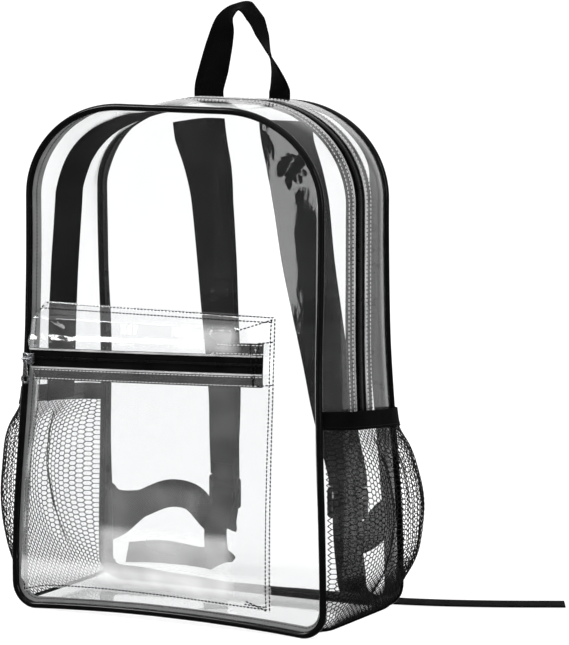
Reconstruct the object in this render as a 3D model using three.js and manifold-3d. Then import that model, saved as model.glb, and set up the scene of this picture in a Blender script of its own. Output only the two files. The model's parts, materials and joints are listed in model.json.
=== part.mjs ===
// A clear backpack standing on the floor.
// Millimetres. +Z is up, the front faces -Y, the floor is Z = 0,
// and the origin is the middle of the flat bottom.
import * as THREE from "three";
import { mergeVertices } from "three/addons/utils/BufferGeometryUtils.js";
import Module from "manifold-3d";

const wasm = await Module();
wasm.setup();

// The bag itself, over its seams.
const bag = {
  height: 430, // floor to the top seam
  halfWidthLow: 150, // middle to the side seam, close to the floor
  halfWidthHigh: 141.5, // the same from half way up
  depthLow: 142, // front seam to back seam, close to the floor
  depthHigh: 116, // the same at the top
  cornerLow: 22, // radius of the bottom corners
  shoulderRun: 91.5, // the rounded shoulder's size across
  shoulderDrop: 80, // the same upright
  wall: 1, // the clear sheet
  crown: 5, // how far a side stands out between its seams
  leftDent: 11, // how far the left shoulder has sunk in between its seams
  frontLift: 4.5, // the front bottom edge hangs this high in its middle
  frontBulge: 3,
  backBulge: 2,
};

// The black piping in the front and back seams, with the seam's flap on the inside.
const seam = { radius: 3, gap: 0.4, flap: 10.4, flapThick: 1 };
const seamClear = seam.radius + seam.gap;
const shoulderX = bag.halfWidthHigh - bag.shoulderRun;
const shoulderZ = bag.height - bag.shoulderDrop;

// The main zip runs over the top and down both sides.
const mainZip = {
  lowEnd: 169, // how high its two ends are, behind the side pockets' bands
  tapeHalf: 22,
  slotHalf: 7, // half of the slot between the clear strips
  coilHalf: 3,
  coilThick: 2.2,
  sliderLength: 14,
  sliderWidth: 9,
  sliderThick: 3,
};

// How a zip's tape and teeth lie on the sheets around them.
const zip = { tapeThick: 0.8, tapeGap: 0.35, coilGap: 0.3, sliderGap: 0.3 };

// The front pocket. Its left side stands out, its right side lies flat.
const pocket = {
  topZ: 262,
  lowZ: 22,
  rightX: 97,
  zipDrop: 46, // top edge to the zip at the left side
  zipRise: 6, // the zip's right end is this much higher
  puff: 18, // how far the left side stands out
  puffRight: 0.28, // the share of that left at the right side
  sideRun: 7, // the left side turns forward within this width
  rightRun: 12, // the same at the right side
  lowRun: 16, // the same at the lower edge
  topRun: 13, // the same at the top edge
  slotHalf: 7,
  tapeHalf: 18,
  coilHalf: 2.6,
  coilThick: 2,
  gap: 0.7,
};

// The mesh pockets on both sides, with an elastic band along the top.
const mesh = {
  frontZ: 172, // the band's lower edge at the front seam
  backZ: 160, // the same at the back seam
  band: 15,
  bandThick: 1.6,
  thick: 1,
  bulge: 33,
  gap: 0.4,
};

const strap = {
  widthTop: 50,
  widthLow: 34,
  thick: 3.4,
  topDrop: 19, // the bag's top to the strap's top
  endZ: 90, // the height of its low end
  backReach: 58, // how far it stands off the back
  spread: 42, // the middle of the bag to the strap at its top
  turn: 0.26, // the straps lie turned this much, in radians
  gap: 0.4,
};
const webbing = {
  width: 25,
  thick: 1.8,
  gap: 0.4,
  anchorZ: 58, // the height of its foot in the side seam
  anchorWidth: 56,
  tailLeft: 112, // how far each free end reaches along the floor
  tailRight: 197,
};
const handle = { rise: 80, halfSpan: 38, width: 28, thick: 2, gap: 0.3 };
const buckle = { width: 36, height: 28, thick: 5, bar: 4.5, step: 1.3 };
const slider = { length: 10, height: 10, thick: 3.6, bridgeRadius: 0.8, bridgeOut: 3.4 };
const pull = { length: 21, width: 8.4, thick: 1.2, eyeOuter: 2.5, eyeInner: 1.15 };

const clear = { color: "#e6edf0", roughness: 0.1, metalness: 0 };
const blackTrim = { color: "#161617", roughness: 0.45, metalness: 0 };
const blackCloth = { color: "#1a1a1b", roughness: 0.85, metalness: 0 };
const blackMesh = { color: "#222223", roughness: 0.8, metalness: 0 };
const blackPlastic = { color: "#141415", roughness: 0.35, metalness: 0 };
const silver = { color: "#b9bcc0", roughness: 0.3, metalness: 0.9 };

const object = new THREE.Group();
object.name = "clear_backpack";

function addPiece(name, geometry, look) {
  const piece = new THREE.Mesh(geometry, new THREE.MeshStandardMaterial(look));
  piece.name = name;
  object.add(piece);
  return piece;
}

function smooth(share) {
  const s = Math.min(1, Math.max(0, share));
  return s * s * (3 - 2 * s);
}

function mix(from, to, share) {
  return from + (to - from) * share;
}

// Reads a short table of [position, value] rows at any position between them.
function tableAt(rows, position) {
  if (position <= rows[0][0]) return rows[0][1];
  for (let i = 1; i < rows.length; i += 1) {
    if (position <= rows[i][0]) {
      const share = (position - rows[i - 1][0]) / (rows[i][0] - rows[i - 1][0]);
      return mix(rows[i - 1][1], rows[i][1], share);
    }
  }
  return rows[rows.length - 1][1];
}

// How the bag narrows from its low sizes to its high ones, from the floor to the top.
function halfWidthAt(z) {
  return mix(bag.halfWidthLow, bag.halfWidthHigh, smooth((z / bag.height - 0.07) / 0.51));
}

function depthAt(z) {
  return mix(bag.depthLow, bag.depthHigh, smooth((z / bag.height - 0.09) / 0.7));
}

// Builds a closed body from a list of triangles and turns it to face out.
function closedBody(points, triangles) {
  let volume = 0;
  for (const [a, b, c] of triangles) {
    volume += points[a].dot(points[b].clone().cross(points[c]));
  }
  const faces = volume < 0 ? triangles.map(([a, b, c]) => [a, c, b]) : triangles;
  const geometry = new THREE.BufferGeometry();
  geometry.setAttribute(
    "position",
    new THREE.Float32BufferAttribute(points.flatMap((p) => [p.x, p.y, p.z]), 3),
  );
  geometry.setIndex(faces.flat());
  geometry.computeVertexNormals();
  return geometry;
}

function quad(list, a, b, c, d) {
  list.push([a, b, c], [a, c, d]);
}

// A sheet with two faces, each a grid of points of the same size.
function sheetBody(outer, inner) {
  const rows = outer.length;
  const columns = outer[0].length;
  const points = [...outer.flat(), ...inner.flat()];
  const far = rows * columns;
  const at = (row, column) => row * columns + column;
  const triangles = [];
  for (let r = 0; r + 1 < rows; r += 1) {
    for (let c = 0; c + 1 < columns; c += 1) {
      quad(triangles, at(r, c), at(r, c + 1), at(r + 1, c + 1), at(r + 1, c));
      quad(triangles, far + at(r, c), far + at(r + 1, c), far + at(r + 1, c + 1), far + at(r, c + 1));
    }
  }
  const rim = [];
  for (let c = 0; c < columns; c += 1) rim.push(at(0, c));
  for (let r = 1; r < rows; r += 1) rim.push(at(r, columns - 1));
  for (let c = columns - 2; c >= 0; c -= 1) rim.push(at(rows - 1, c));
  for (let r = rows - 2; r > 0; r -= 1) rim.push(at(r, 0));
  rim.forEach((here, i) => {
    const next = rim[(i + 1) % rim.length];
    quad(triangles, next, here, far + here, far + next);
  });
  return closedBody(points, triangles);
}

// Joins sections of equal length, either into a ring or with flat ends.
function sweptBody(sections, isRing) {
  const count = sections[0].length;
  const points = sections.flat();
  const triangles = [];
  const last = isRing ? sections.length : sections.length - 1;
  for (let s = 0; s < last; s += 1) {
    const here = s * count;
    const next = ((s + 1) % sections.length) * count;
    for (let i = 0; i < count; i += 1) {
      const j = (i + 1) % count;
      quad(triangles, here + i, next + i, next + j, here + j);
    }
  }
  if (!isRing) {
    const end = (sections.length - 1) * count;
    for (let i = 1; i + 1 < count; i += 1) {
      triangles.push([0, i, i + 1], [end, end + i + 1, end + i]);
    }
  }
  return closedBody(points, triangles);
}

// A panel made of rings around a middle point, with two faces.
function panelBody(outerRings, innerRings, outerMiddle, innerMiddle) {
  const count = outerRings[0].length;
  const rings = outerRings.length;
  const points = [...outerRings.flat(), outerMiddle, ...innerRings.flat(), innerMiddle];
  const far = rings * count + 1;
  const triangles = [];
  for (let i = 0; i < count; i += 1) {
    const j = (i + 1) % count;
    for (let r = 0; r + 1 < rings; r += 1) {
      const a = r * count;
      const b = (r + 1) * count;
      quad(triangles, a + i, a + j, b + j, b + i);
      quad(triangles, far + a + i, far + b + i, far + b + j, far + a + j);
    }
    const inmost = (rings - 1) * count;
    triangles.push([inmost + i, inmost + j, rings * count]);
    triangles.push([far + inmost + j, far + inmost + i, far + rings * count]);
    quad(triangles, j, i, far + i, far + j);
  }
  return closedBody(points, triangles);
}

// A flat band along a line. Each row is x, y, z, then the way its width points, then its width.
function bandBody(rows, thick, steps) {
  const line = new THREE.CatmullRomCurve3(rows.map((r) => new THREE.Vector3(r[0], r[1], r[2])));
  line.curveType = "centripetal";
  const sections = [];
  for (let i = 0; i <= steps; i += 1) {
    const share = i / steps;
    const middle = line.getPoint(share);
    const along = line.getTangent(share);
    const place = share * (rows.length - 1);
    const low = Math.min(rows.length - 2, Math.floor(place));
    const [from, to] = [rows[low], rows[low + 1]];
    const part = place - low;
    const across = new THREE.Vector3(
      mix(from[3], to[3], part),
      mix(from[4], to[4], part),
      mix(from[5], to[5], part),
    );
    across.addScaledVector(along, -across.dot(along)).normalize();
    const facing = along.clone().cross(across).normalize();
    across.multiplyScalar(mix(from[6], to[6], part) / 2);
    facing.multiplyScalar(thick / 2);
    sections.push([
      middle.clone().add(across).add(facing),
      middle.clone().sub(across).add(facing),
      middle.clone().sub(across).sub(facing),
      middle.clone().add(across).sub(facing),
    ]);
  }
  return sweptBody(sections, false);
}

// The outline of the bag from the front. A place runs 0 to 1 along the bottom, to 2 round the
// corner, to 3 up the side, to 4 round the shoulder and to 5 along the top. Left is negative.
function edgePoint(place, inset, lift) {
  const a = Math.abs(place);
  const way = place < 0 ? -1 : 1;
  const lowX = bag.halfWidthLow - bag.cornerLow;
  let x = shoulderX * (5 - a);
  let z = bag.height - inset;
  if (a <= 1) {
    x = lowX * a;
    z = inset;
  } else if (a <= 2) {
    const turn = ((a - 1) * Math.PI) / 2;
    const radius = bag.cornerLow - inset;
    x = lowX + radius * Math.sin(turn);
    z = bag.cornerLow - radius * Math.cos(turn);
  } else if (a <= 3) {
    z = mix(bag.cornerLow, shoulderZ, a - 2);
    x = halfWidthAt(z) - inset;
  } else if (a <= 4) {
    const turn = ((a - 3) * Math.PI) / 2;
    x = shoulderX + (bag.shoulderRun - inset) * Math.cos(turn);
    z = shoulderZ + (bag.shoulderDrop - inset) * Math.sin(turn);
  }
  if (a <= 1) z += lift * (1 - a * a);
  return [way * x, z];
}

function placeAtHeight(z) {
  return 2 + (z - bag.cornerLow) / (shoulderZ - bag.cornerLow);
}

const lowPlaces = [0, 0.35, 0.7, 1, 1.25, 1.5, 1.75, 2];
const sideShares = [0.16, 0.29, 0.435, 0.56, 0.69];
const sidePlaces = sideShares.map((share) => placeAtHeight(share * bag.height));
const topPlaces = [3, 3.17, 3.33, 3.5, 3.67, 3.83, 4, 4.5, 5];
const halfLoop = [...lowPlaces, ...sidePlaces, ...topPlaces];
const loop = [...halfLoop, ...halfLoop.slice(1, -1).reverse().map((place) => -place)];

function seamY(place, way) {
  const [, z] = edgePoint(place, seam.radius, 0);
  return (way * depthAt(z)) / 2;
}

// Front and back panels.

function panelY(x, z, way) {
  const swell = way < 0 ? bag.frontBulge : bag.backBulge;
  const acrossShare = Math.min(1, Math.abs(x) / halfWidthAt(z));
  const upShare = Math.min(1, Math.abs(2 * z - bag.height) / bag.height);
  const bulge = swell * (1 - acrossShare ** 2) * (1 - upShare ** 2);
  return way * (depthAt(z) / 2 + bulge);
}

function panelRings(way, out) {
  const middle = [0, bag.height / 2];
  const lift = way < 0 ? bag.frontLift : 0;
  const rim = loop.map((place) => edgePoint(place, seam.radius + seamClear, lift));
  const rings = [1, 0.86, 0.62, 0.3].map((share) =>
    rim.map(([x, z]) => {
      const [px, pz] = [mix(middle[0], x, share), mix(middle[1], z, share)];
      return new THREE.Vector3(px, panelY(px, pz, way) + way * out, pz);
    }),
  );
  const centre = new THREE.Vector3(middle[0], panelY(middle[0], middle[1], way) + way * out, middle[1]);
  return [rings, centre];
}

for (const [name, way] of [["front_panel", -1], ["back_panel", 1]]) {
  const [outerRings, outerMiddle] = panelRings(way, bag.wall / 2);
  const [innerRings, innerMiddle] = panelRings(way, -bag.wall / 2);
  addPiece(name, panelBody(outerRings, innerRings, outerMiddle, innerMiddle), clear);
}

// Piping: a round bead in the seam, with a flap that leans into the bag.
const beadSteps = 7;
const beadOpening = Math.asin(seam.flapThick / 2 / seam.radius);
const beadProfile = [];
for (let i = 0; i <= beadSteps; i += 1) {
  const turn = Math.PI * 0.75 + beadOpening + ((2 * Math.PI - 2 * beadOpening) * i) / beadSteps;
  beadProfile.push([seam.radius * Math.cos(turn), seam.radius * Math.sin(turn)]);
}
const flapEnd = seam.flap * Math.SQRT1_2;
const flapSide = (seam.flapThick / 2) * Math.SQRT1_2;
beadProfile.push([-flapEnd + flapSide, flapEnd + flapSide]);
beadProfile.push([-flapEnd - flapSide, flapEnd - flapSide]);

function pipingBody(way) {
  const lift = way < 0 ? bag.frontLift : 0;
  const sections = loop.map((place) =>
    beadProfile.map(([out, inward]) => {
      const [x, z] = edgePoint(place, seam.radius - out, lift);
      return new THREE.Vector3(x, seamY(place, way) - way * inward, z);
    }),
  );
  return sweptBody(sections, true);
}
addPiece("front_piping", pipingBody(-1), blackTrim);
addPiece("back_piping", pipingBody(1), blackTrim);

// The side wall between the two seams. `across` is -1 at the front seam and 1 at the back one.
function sidePoint(place, across, out) {
  const a = Math.abs(place);
  const flat = Math.max(0, (Math.abs(across) - 0.7) / 0.3);
  const lowShape = 1 - flat * flat;
  const highShape = 1 - across ** 4;
  const low = seam.radius - bag.wall / 2;
  const rise = smooth(a - 1.3);
  const shoulder = place < 0 ? smooth((a - 2.6) / 0.6) * (1 - smooth((a - 4) / 0.7)) : 0;
  const crown = bag.crown - bag.leftDent * shoulder;
  const stand = mix(low * lowShape, crown * highShape, rise);
  const lift = across < 0 ? bag.frontLift * flat : 0;
  const [x, z] = edgePoint(place, seam.radius - stand - out, lift);
  const half = seamY(place, 1) - seamClear;
  return new THREE.Vector3(x, across * half, z);
}

function sidePointAtY(place, y, out) {
  return sidePoint(place, y / (seamY(place, 1) - seamClear), out);
}

const half = bag.wall / 2;
const wallCut = 0.4; // half of the gap between the lower wall and the zip strips
const lowEnd = placeAtHeight(mainZip.lowEnd - wallCut);
const zipEnd = placeAtHeight(mainZip.lowEnd + wallCut);
const lowSide = [...lowPlaces, placeAtHeight(0.16 * bag.height), placeAtHeight(0.28 * bag.height), lowEnd];
const lowWall = [...lowSide.slice(1).reverse().map((place) => -place), ...lowSide];
const lowColumns = [-1, -0.85, -0.7, -0.35, 0, 0.35, 0.7, 0.85, 1];
addPiece(
  "lower_wall",
  sheetBody(
    lowWall.map((place) => lowColumns.map((across) => sidePoint(place, across, half))),
    lowWall.map((place) => lowColumns.map((across) => sidePoint(place, across, -half))),
  ),
  clear,
);

const highSide = [zipEnd, ...sidePlaces.filter((place) => place > zipEnd + 0.02), ...topPlaces];
const highWall = [...highSide, ...highSide.slice(0, -1).reverse().map((place) => -place)];

function stripBody(way) {
  const row = (place, out) => [
    sidePoint(place, way, out),
    sidePoint(place, way * 0.72, out),
    sidePointAtY(place, way * mainZip.tapeHalf, out),
    sidePointAtY(place, way * mainZip.slotHalf, out),
  ];
  return sheetBody(
    highWall.map((place) => row(place, half)),
    highWall.map((place) => row(place, -half)),
  );
}
addPiece("zip_strip_front", stripBody(-1), clear);
addPiece("zip_strip_back", stripBody(1), clear);

function zipBand(columns, outer, inner) {
  return sheetBody(
    highWall.map((place) => columns.map((y) => sidePointAtY(place, y, outer))),
    highWall.map((place) => columns.map((y) => sidePointAtY(place, y, inner))),
  );
}
const tapeTop = -half - zip.tapeGap;
addPiece(
  "main_zip_tape",
  zipBand(
    [-mainZip.tapeHalf, -mainZip.slotHalf, mainZip.slotHalf, mainZip.tapeHalf],
    tapeTop,
    tapeTop - zip.tapeThick,
  ),
  blackCloth,
);
const coilLow = tapeTop + zip.coilGap;
addPiece(
  "main_zip_coil",
  zipBand([-mainZip.coilHalf, mainZip.coilHalf], coilLow + mainZip.coilThick, coilLow),
  blackTrim,
);

// A plain slider closes the main zip at its left end, where the photo hides it.
const sliderLow = mainZip.lowEnd + mainZip.sliderLength / 2;
const sliderBase = [sliderLow, sliderLow + mainZip.sliderLength].map(
  (z) => sidePoint(-placeAtHeight(z), 0, coilLow + mainZip.coilThick + zip.sliderGap).x,
);
const mainSlider = new THREE.BoxGeometry(mainZip.sliderThick, mainZip.sliderWidth, mainZip.sliderLength);
mainSlider.translate(
  Math.min(...sliderBase) - mainZip.sliderThick / 2, 0, sliderLow + mainZip.sliderLength / 2,
);
addPiece("main_zip_slider", mainSlider, blackTrim);

// Front pocket. Rows run up, columns run from the left seam to the right one.
// Its left edge. Columns: height as a share of the pocket's top, place as a share of the half width.
const pocketLeft = [
  [0.05, 0.927],
  [0.23, 0.909],
  [0.51, 0.897],
  [0.74, 0.875],
  [0.82, 0.915],
  [0.95, 0.912],
  [1, 0.855],
];
// Its lower edge. Columns: place as a share of the width, height as a share of its lowZ.
const pocketLow = [
  [0, 0.64],
  [0.12, 0.91],
  [0.5, 1],
  [1, 0.86],
];
// How full it is. Columns: height as a share of the pocket's top, share of the puff.
const pocketFull = [
  [0.19, 0.88],
  [0.34, 0.97],
  [0.42, 1],
  [0.5, 0.97],
  [0.65, 0.88],
  [0.75, 0.9],
  [0.8, 1],
];

function pocketX(share, z) {
  const left = -tableAt(pocketLeft, z / pocket.topZ) * halfWidthAt(z);
  return mix(left, pocket.rightX, share);
}

function pocketPuff(share, z) {
  const left = pocketX(0, z);
  const x = pocketX(share, z);
  const leftRise = smooth((x - left) / pocket.sideRun);
  const rightRise = smooth((pocket.rightX - x) / pocket.rightRun);
  const lowRise = smooth((z - pocketLowZ(share)) / pocket.lowRun);
  const topRise = smooth((pocket.topZ - z) / pocket.topRun);
  const slope = mix(1, pocket.puffRight, share);
  return pocket.puff * leftRise * rightRise * lowRise * topRise * slope * tableAt(pocketFull, z / pocket.topZ);
}

function pocketLowZ(share) {
  return pocket.lowZ * tableAt(pocketLow, share);
}

function pocketPoint(share, z, out) {
  const x = pocketX(share, z);
  const y = panelY(x, z, -1) - half - pocket.gap - half - pocketPuff(share, z) - out;
  return new THREE.Vector3(x, y, z);
}

function pocketZipZ(share) {
  return pocket.topZ - pocket.zipDrop + pocket.zipRise * share;
}

const pocketColumns = [0, 0.008, 0.016, 0.024, 0.034, 0.06, 0.2, 0.4, 0.6, 0.8, 0.945, 0.97, 1];

function pocketSheet(rowHeights) {
  const face = (out) =>
    rowHeights.map((heightOf) => pocketColumns.map((share) => pocketPoint(share, heightOf(share), out)));
  return sheetBody(face(half), face(-half));
}

const zipRow = (step) => (share) => pocketZipZ(share) + step;
const topRow = (part) => () => pocket.topZ - part * pocket.topRun;
const lowRow = (part) => (share) => pocketLowZ(share) + part * pocket.lowRun;
const faceRow = (part) => (share) =>
  mix(pocketLowZ(share) + pocket.lowRun, pocketZipZ(share) - pocket.tapeHalf, part);
addPiece(
  "pocket_upper_face",
  pocketSheet([
    zipRow(pocket.slotHalf),
    zipRow(pocket.tapeHalf),
    topRow(1),
    topRow(0.7),
    topRow(0.3),
    topRow(0),
  ]),
  clear,
);
addPiece(
  "pocket_lower_face",
  pocketSheet([
    lowRow(0),
    lowRow(0.31),
    lowRow(0.63),
    lowRow(1),
    faceRow(0.2),
    faceRow(0.45),
    faceRow(0.7),
    faceRow(0.91),
    zipRow(-pocket.tapeHalf),
    zipRow(-pocket.slotHalf),
  ]),
  clear,
);

const pocketInner = pocketColumns.slice(3, -1);

function pocketBand(steps, outer, inner) {
  const face = (out) =>
    steps.map((step) => pocketInner.map((share) => pocketPoint(share, pocketZipZ(share) + step, out)));
  return sheetBody(face(outer), face(inner));
}
const pocketTapeTop = -half - zip.tapeGap;
addPiece(
  "pocket_zip_tape",
  pocketBand(
    [-pocket.tapeHalf, -pocket.slotHalf, pocket.slotHalf, pocket.tapeHalf],
    pocketTapeTop,
    pocketTapeTop - zip.tapeThick,
  ),
  blackCloth,
);
const pocketCoilLow = pocketTapeTop + zip.coilGap;
addPiece(
  "pocket_zip_coil",
  pocketBand([-pocket.coilHalf, pocket.coilHalf], pocketCoilLow + pocket.coilThick, pocketCoilLow),
  blackTrim,
);

// The slider's bridge is a small bar across its face, and the pull's eye goes round it.
function solidOf(geometry) {
  const bare = geometry.clone();
  bare.deleteAttribute("normal");
  bare.deleteAttribute("uv");
  const welded = mergeVertices(bare);
  return new wasm.Manifold(
    new wasm.Mesh({
      numProp: 3,
      vertProperties: new Float32Array(welded.attributes.position.array),
      triVerts: new Uint32Array(welded.index.array),
    }),
  );
}

function geometryOf(solid) {
  const made = solid.getMesh();
  const geometry = new THREE.BufferGeometry();
  geometry.setAttribute("position", new THREE.BufferAttribute(new Float32Array(made.vertProperties), 3));
  geometry.setIndex(new THREE.BufferAttribute(new Uint32Array(made.triVerts), 1));
  geometry.computeVertexNormals();
  return geometry;
}

const sliderShare = 0.032;
const coilTop = pocketCoilLow + pocket.coilThick;
const sliderSpot = pocketPoint(sliderShare, pocketZipZ(sliderShare), coilTop + zip.sliderGap);
const sliderFaceY = sliderSpot.y - slider.thick;
const bridgeY = sliderFaceY - slider.bridgeOut;
const sliderBox = new THREE.BoxGeometry(slider.length, slider.thick, slider.height);
sliderBox.translate(sliderSpot.x, sliderSpot.y - slider.thick / 2, sliderSpot.z);
const bridgeSpan = slider.length - 2;
const bridgeBar = new THREE.CylinderGeometry(slider.bridgeRadius, slider.bridgeRadius, bridgeSpan, 16);
bridgeBar.rotateZ(Math.PI / 2);
bridgeBar.translate(sliderSpot.x, bridgeY, sliderSpot.z);
let sliderSolid = solidOf(sliderBox).add(solidOf(bridgeBar));
for (const way of [-1, 1]) {
  const post = new THREE.BoxGeometry(1.6, slider.bridgeOut + 1.2, 2.4);
  post.translate(sliderSpot.x + way * (bridgeSpan / 2 - 0.5), bridgeY + slider.bridgeOut / 2 - 0.2, sliderSpot.z);
  sliderSolid = sliderSolid.add(solidOf(post));
}
addPiece("pocket_zip_slider", geometryOf(sliderSolid), silver);

const eyeShape = new THREE.Shape();
eyeShape.absarc(0, 0, pull.eyeOuter, 0, Math.PI * 2, false);
const eyeHole = new THREE.Path();
eyeHole.absarc(0, 0, pull.eyeInner, 0, Math.PI * 2, true);
eyeShape.holes.push(eyeHole);
const eye = new THREE.ExtrudeGeometry(eyeShape, { depth: 2.4, bevelEnabled: false, curveSegments: 20 });
eye.rotateY(Math.PI / 2);
eye.translate(sliderSpot.x - 1.2, bridgeY, sliderSpot.z);

const tabShape = new THREE.Shape();
const neck = 1.6;
const ringRadius = pull.width / 2;
const ringMiddle = -(pull.length - ringRadius);
tabShape.moveTo(-neck, -1.7);
tabShape.lineTo(-neck, -6);
tabShape.lineTo(-2.6, ringMiddle + 3);
tabShape.absarc(0, ringMiddle, ringRadius, Math.PI * 0.75, Math.PI * 2.25, false);
tabShape.lineTo(2.6, ringMiddle + 3);
tabShape.lineTo(neck, -6);
tabShape.lineTo(neck, -1.7);
tabShape.closePath();
const tabHole = new THREE.Path();
tabHole.absarc(0, ringMiddle, ringRadius - 1.9, 0, Math.PI * 2, true);
tabShape.holes.push(tabHole);
const tab = new THREE.ExtrudeGeometry(tabShape, { depth: pull.thick, bevelEnabled: false, curveSegments: 14 });
tab.rotateX(Math.PI / 2);
tab.translate(sliderSpot.x, bridgeY + pull.thick / 2, sliderSpot.z);
addPiece("pocket_zip_pull", geometryOf(solidOf(eye).add(solidOf(tab))), silver);

// Mesh side pockets.
const meshBulge = [
  [0.1, 0],
  [0.2, 0.38],
  [0.3, 0.68],
  [0.45, 0.9],
  [0.62, 1],
  [0.8, 0.92],
  [0.9, 0.75],
  [1, 0.42],
  [1.1, 0.34],
];

function meshTopZ(across) {
  return mix(mesh.frontZ, mesh.backZ, (across + 1) / 2);
}

function meshPoint(way, place, across, z, out) {
  const base = sidePoint(way * place, across, half + mesh.gap);
  const topZ = meshTopZ(across);
  const boxy = 1 - Math.abs(across) ** 5;
  const stand = mesh.bulge * tableAt(meshBulge, z / topZ) * boxy;
  return new THREE.Vector3(base.x + way * (stand + out), base.y, z);
}

const meshColumns = [-1, -0.9, -0.75, -0.45, 0, 0.45, 0.75, 0.9, 1];
const meshFoot = [[1.45, 0], [1.62, 0.6], [1.8, 1.4]]; // place on the corner, standing out
const meshShares = [0.13, 0.22, 0.32, 0.45, 0.6, 0.75, 0.88, 0.94, 1];

function meshFace(way, out) {
  const rows = meshShares.map((share) =>
    meshColumns.map((across) => {
      const z = share * meshTopZ(across);
      const place = z < bag.cornerLow ? 2 : placeAtHeight(z);
      return meshPoint(way, place, across, z, out);
    }),
  );
  const foot = meshFoot.map(([place, stand]) =>
    meshColumns.map((across) => {
      const low = sidePoint(way * place, across, half + mesh.gap);
      return new THREE.Vector3(low.x + way * (stand + out), low.y, low.z);
    }),
  );
  return [...foot, ...rows];
}

function bandFace(way, out) {
  return [0.4, mesh.band / 2, mesh.band].map((rise) =>
    meshColumns.map((across) => {
      const z = meshTopZ(across) + rise;
      return meshPoint(way, placeAtHeight(z), across, z, out);
    }),
  );
}

for (const [side, way] of [["left", -1], ["right", 1]]) {
  addPiece(`mesh_pocket_${side}`, sheetBody(meshFace(way, mesh.thick), meshFace(way, 0)), blackMesh);
  addPiece(`mesh_band_${side}`, sheetBody(bandFace(way, mesh.bandThick), bandFace(way, 0)), blackCloth);
}

// Grab handle. Columns: place as a share of the half span, height as a share of the rise,
// then the way the width points.
const handleY = depthAt(bag.height) / 2;
const handleRows = [
  [-0.79, 0, 1, 0, 0],
  [-0.79, 0.08, 1, 0, 0],
  [-0.66, 0.3, 1, 0, 0],
  [-0.53, 0.53, 0.98, -0.15, 0],
  [-0.37, 0.77, 0.92, -0.38, 0],
  [-0.16, 0.9, 0.72, -0.68, 0],
  [0.105, 0.955, 0.25, -0.93, -0.25],
  [0.395, 0.83, 0.05, -0.98, -0.15],
  [0.565, 0.66, 0.16, -0.98, -0.1],
  [0.7, 0.5, 0.38, -0.92, 0],
  [0.79, 0.41, 0.52, -0.85, 0],
  [0.91, 0.26, 0.72, -0.69, 0],
  [1, 0.08, 0.91, -0.41, 0],
  [1, 0, 0.91, -0.41, 0],
];
addPiece(
  "grab_handle",
  bandBody(
    handleRows.map(([place, up, wx, wy, wz]) => [
      place * handle.halfSpan, handleY, bag.height + handle.gap + up * handle.rise, wx, wy, wz, handle.width,
    ]),
    handle.thick,
    26,
  ),
  blackCloth,
);

// Shoulder straps. Columns: way down as a share of the strap's height, distance off the back as
// a share of the reach, distance from the middle as a share of the spread on the left and on the
// right, width as a share from top to end.
const strapRows = [
  [0, 0, 1, 1, 0],
  [0.05, 0.06, 1, 1, 0],
  [0.13, 0.26, 1.01, 1.01, 0],
  [0.22, 0.42, 1.035, 1.035, 0.05],
  [0.38, 0.58, 1.07, 1.07, 0.22],
  [0.52, 0.72, 1.14, 1.14, 0.4],
  [0.66, 0.86, 1.21, 1.21, 0.6],
  [0.785, 0.94, 1.26, 1.285, 0.8],
  [0.905, 0.96, 1.31, 1.475, 0.95],
  [0.975, 0.96, 1.31, 1.595, 1],
  [1, 0.96, 1.31, 1.595, 1],
];
const strapEnds = {};
for (const [side, way] of [["left", -1], ["right", 1]]) {
  const rows = strapRows.map(([down, reach, leftShare, rightShare, taper], i) => {
    const z = mix(bag.height - strap.topDrop, strap.endZ, down);
    const x = way * strap.spread * (way < 0 ? leftShare : rightShare);
    const y = panelY(x, z, 1) + half + strap.gap + strap.thick / 2 + reach * strap.backReach;
    const turn = i < 2 ? 0 : strap.turn * smooth((i - 1) / 2);
    return [x, y, z, Math.cos(turn), way * Math.sin(turn), 0, mix(strap.widthTop, strap.widthLow, taper)];
  });
  addPiece(`shoulder_strap_${side}`, bandBody(rows, strap.thick, 18), blackCloth);
  const end = rows[rows.length - 1];
  strapEnds[side] = new THREE.Vector3(end[0], end[1], end[2]);
}

// Ladder buckles at the strap ends: three bars, with the webbing filling what lies between them.
function buckleGeometry(end, way) {
  const gap = (buckle.height - 3 * buckle.bar) / 2;
  const [thick, thin] = [buckle.thick / 2, buckle.thick / 2 - buckle.step];
  const front = new THREE.Shape();
  front.moveTo(0, thick);
  let z = 0;
  for (let bar = 0; bar < 3; bar += 1) {
    front.lineTo(z, thick);
    z -= buckle.bar;
    front.lineTo(z, thick);
    if (bar < 2) {
      front.lineTo(z, thin);
      z -= gap;
      front.lineTo(z, thin);
    }
  }
  front.lineTo(z, -thick);
  front.lineTo(0, -thick);
  front.closePath();
  const body = new THREE.ExtrudeGeometry(front, { depth: buckle.width, bevelEnabled: false });
  body.translate(0, 0, -buckle.width / 2);
  // The profile lies along the height, so it is stood up: x to z, y to -y, z to x.
  const stand = new THREE.Matrix4().set(0, 0, 1, 0, 0, -1, 0, 0, 1, 0, 0, 0, 0, 0, 0, 1);
  body.applyMatrix4(stand);
  body.rotateZ(way * strap.turn);
  body.translate(end.x, end.y, end.z - webbing.gap);
  return body;
}
for (const [side, way] of [["left", -1], ["right", 1]]) {
  addPiece(`strap_buckle_${side}`, buckleGeometry(strapEnds[side], way), blackPlastic);
}

// Lower webbing: from a wide foot in the back side seam round to the buckle's low end.
// From the anchor. Columns: way across and way back as shares of the way to the strap's end,
// height as a share of the anchor's, width as a share from the webbing's to the anchor's.
const anchorRows = [
  [0, 0.03, 1, 1],
  [0.1, 0.15, 1, 0.55],
  [0.22, 0.5, 1.09, 0],
  [0.4, 0.9, 1.21, 0],
];
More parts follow.
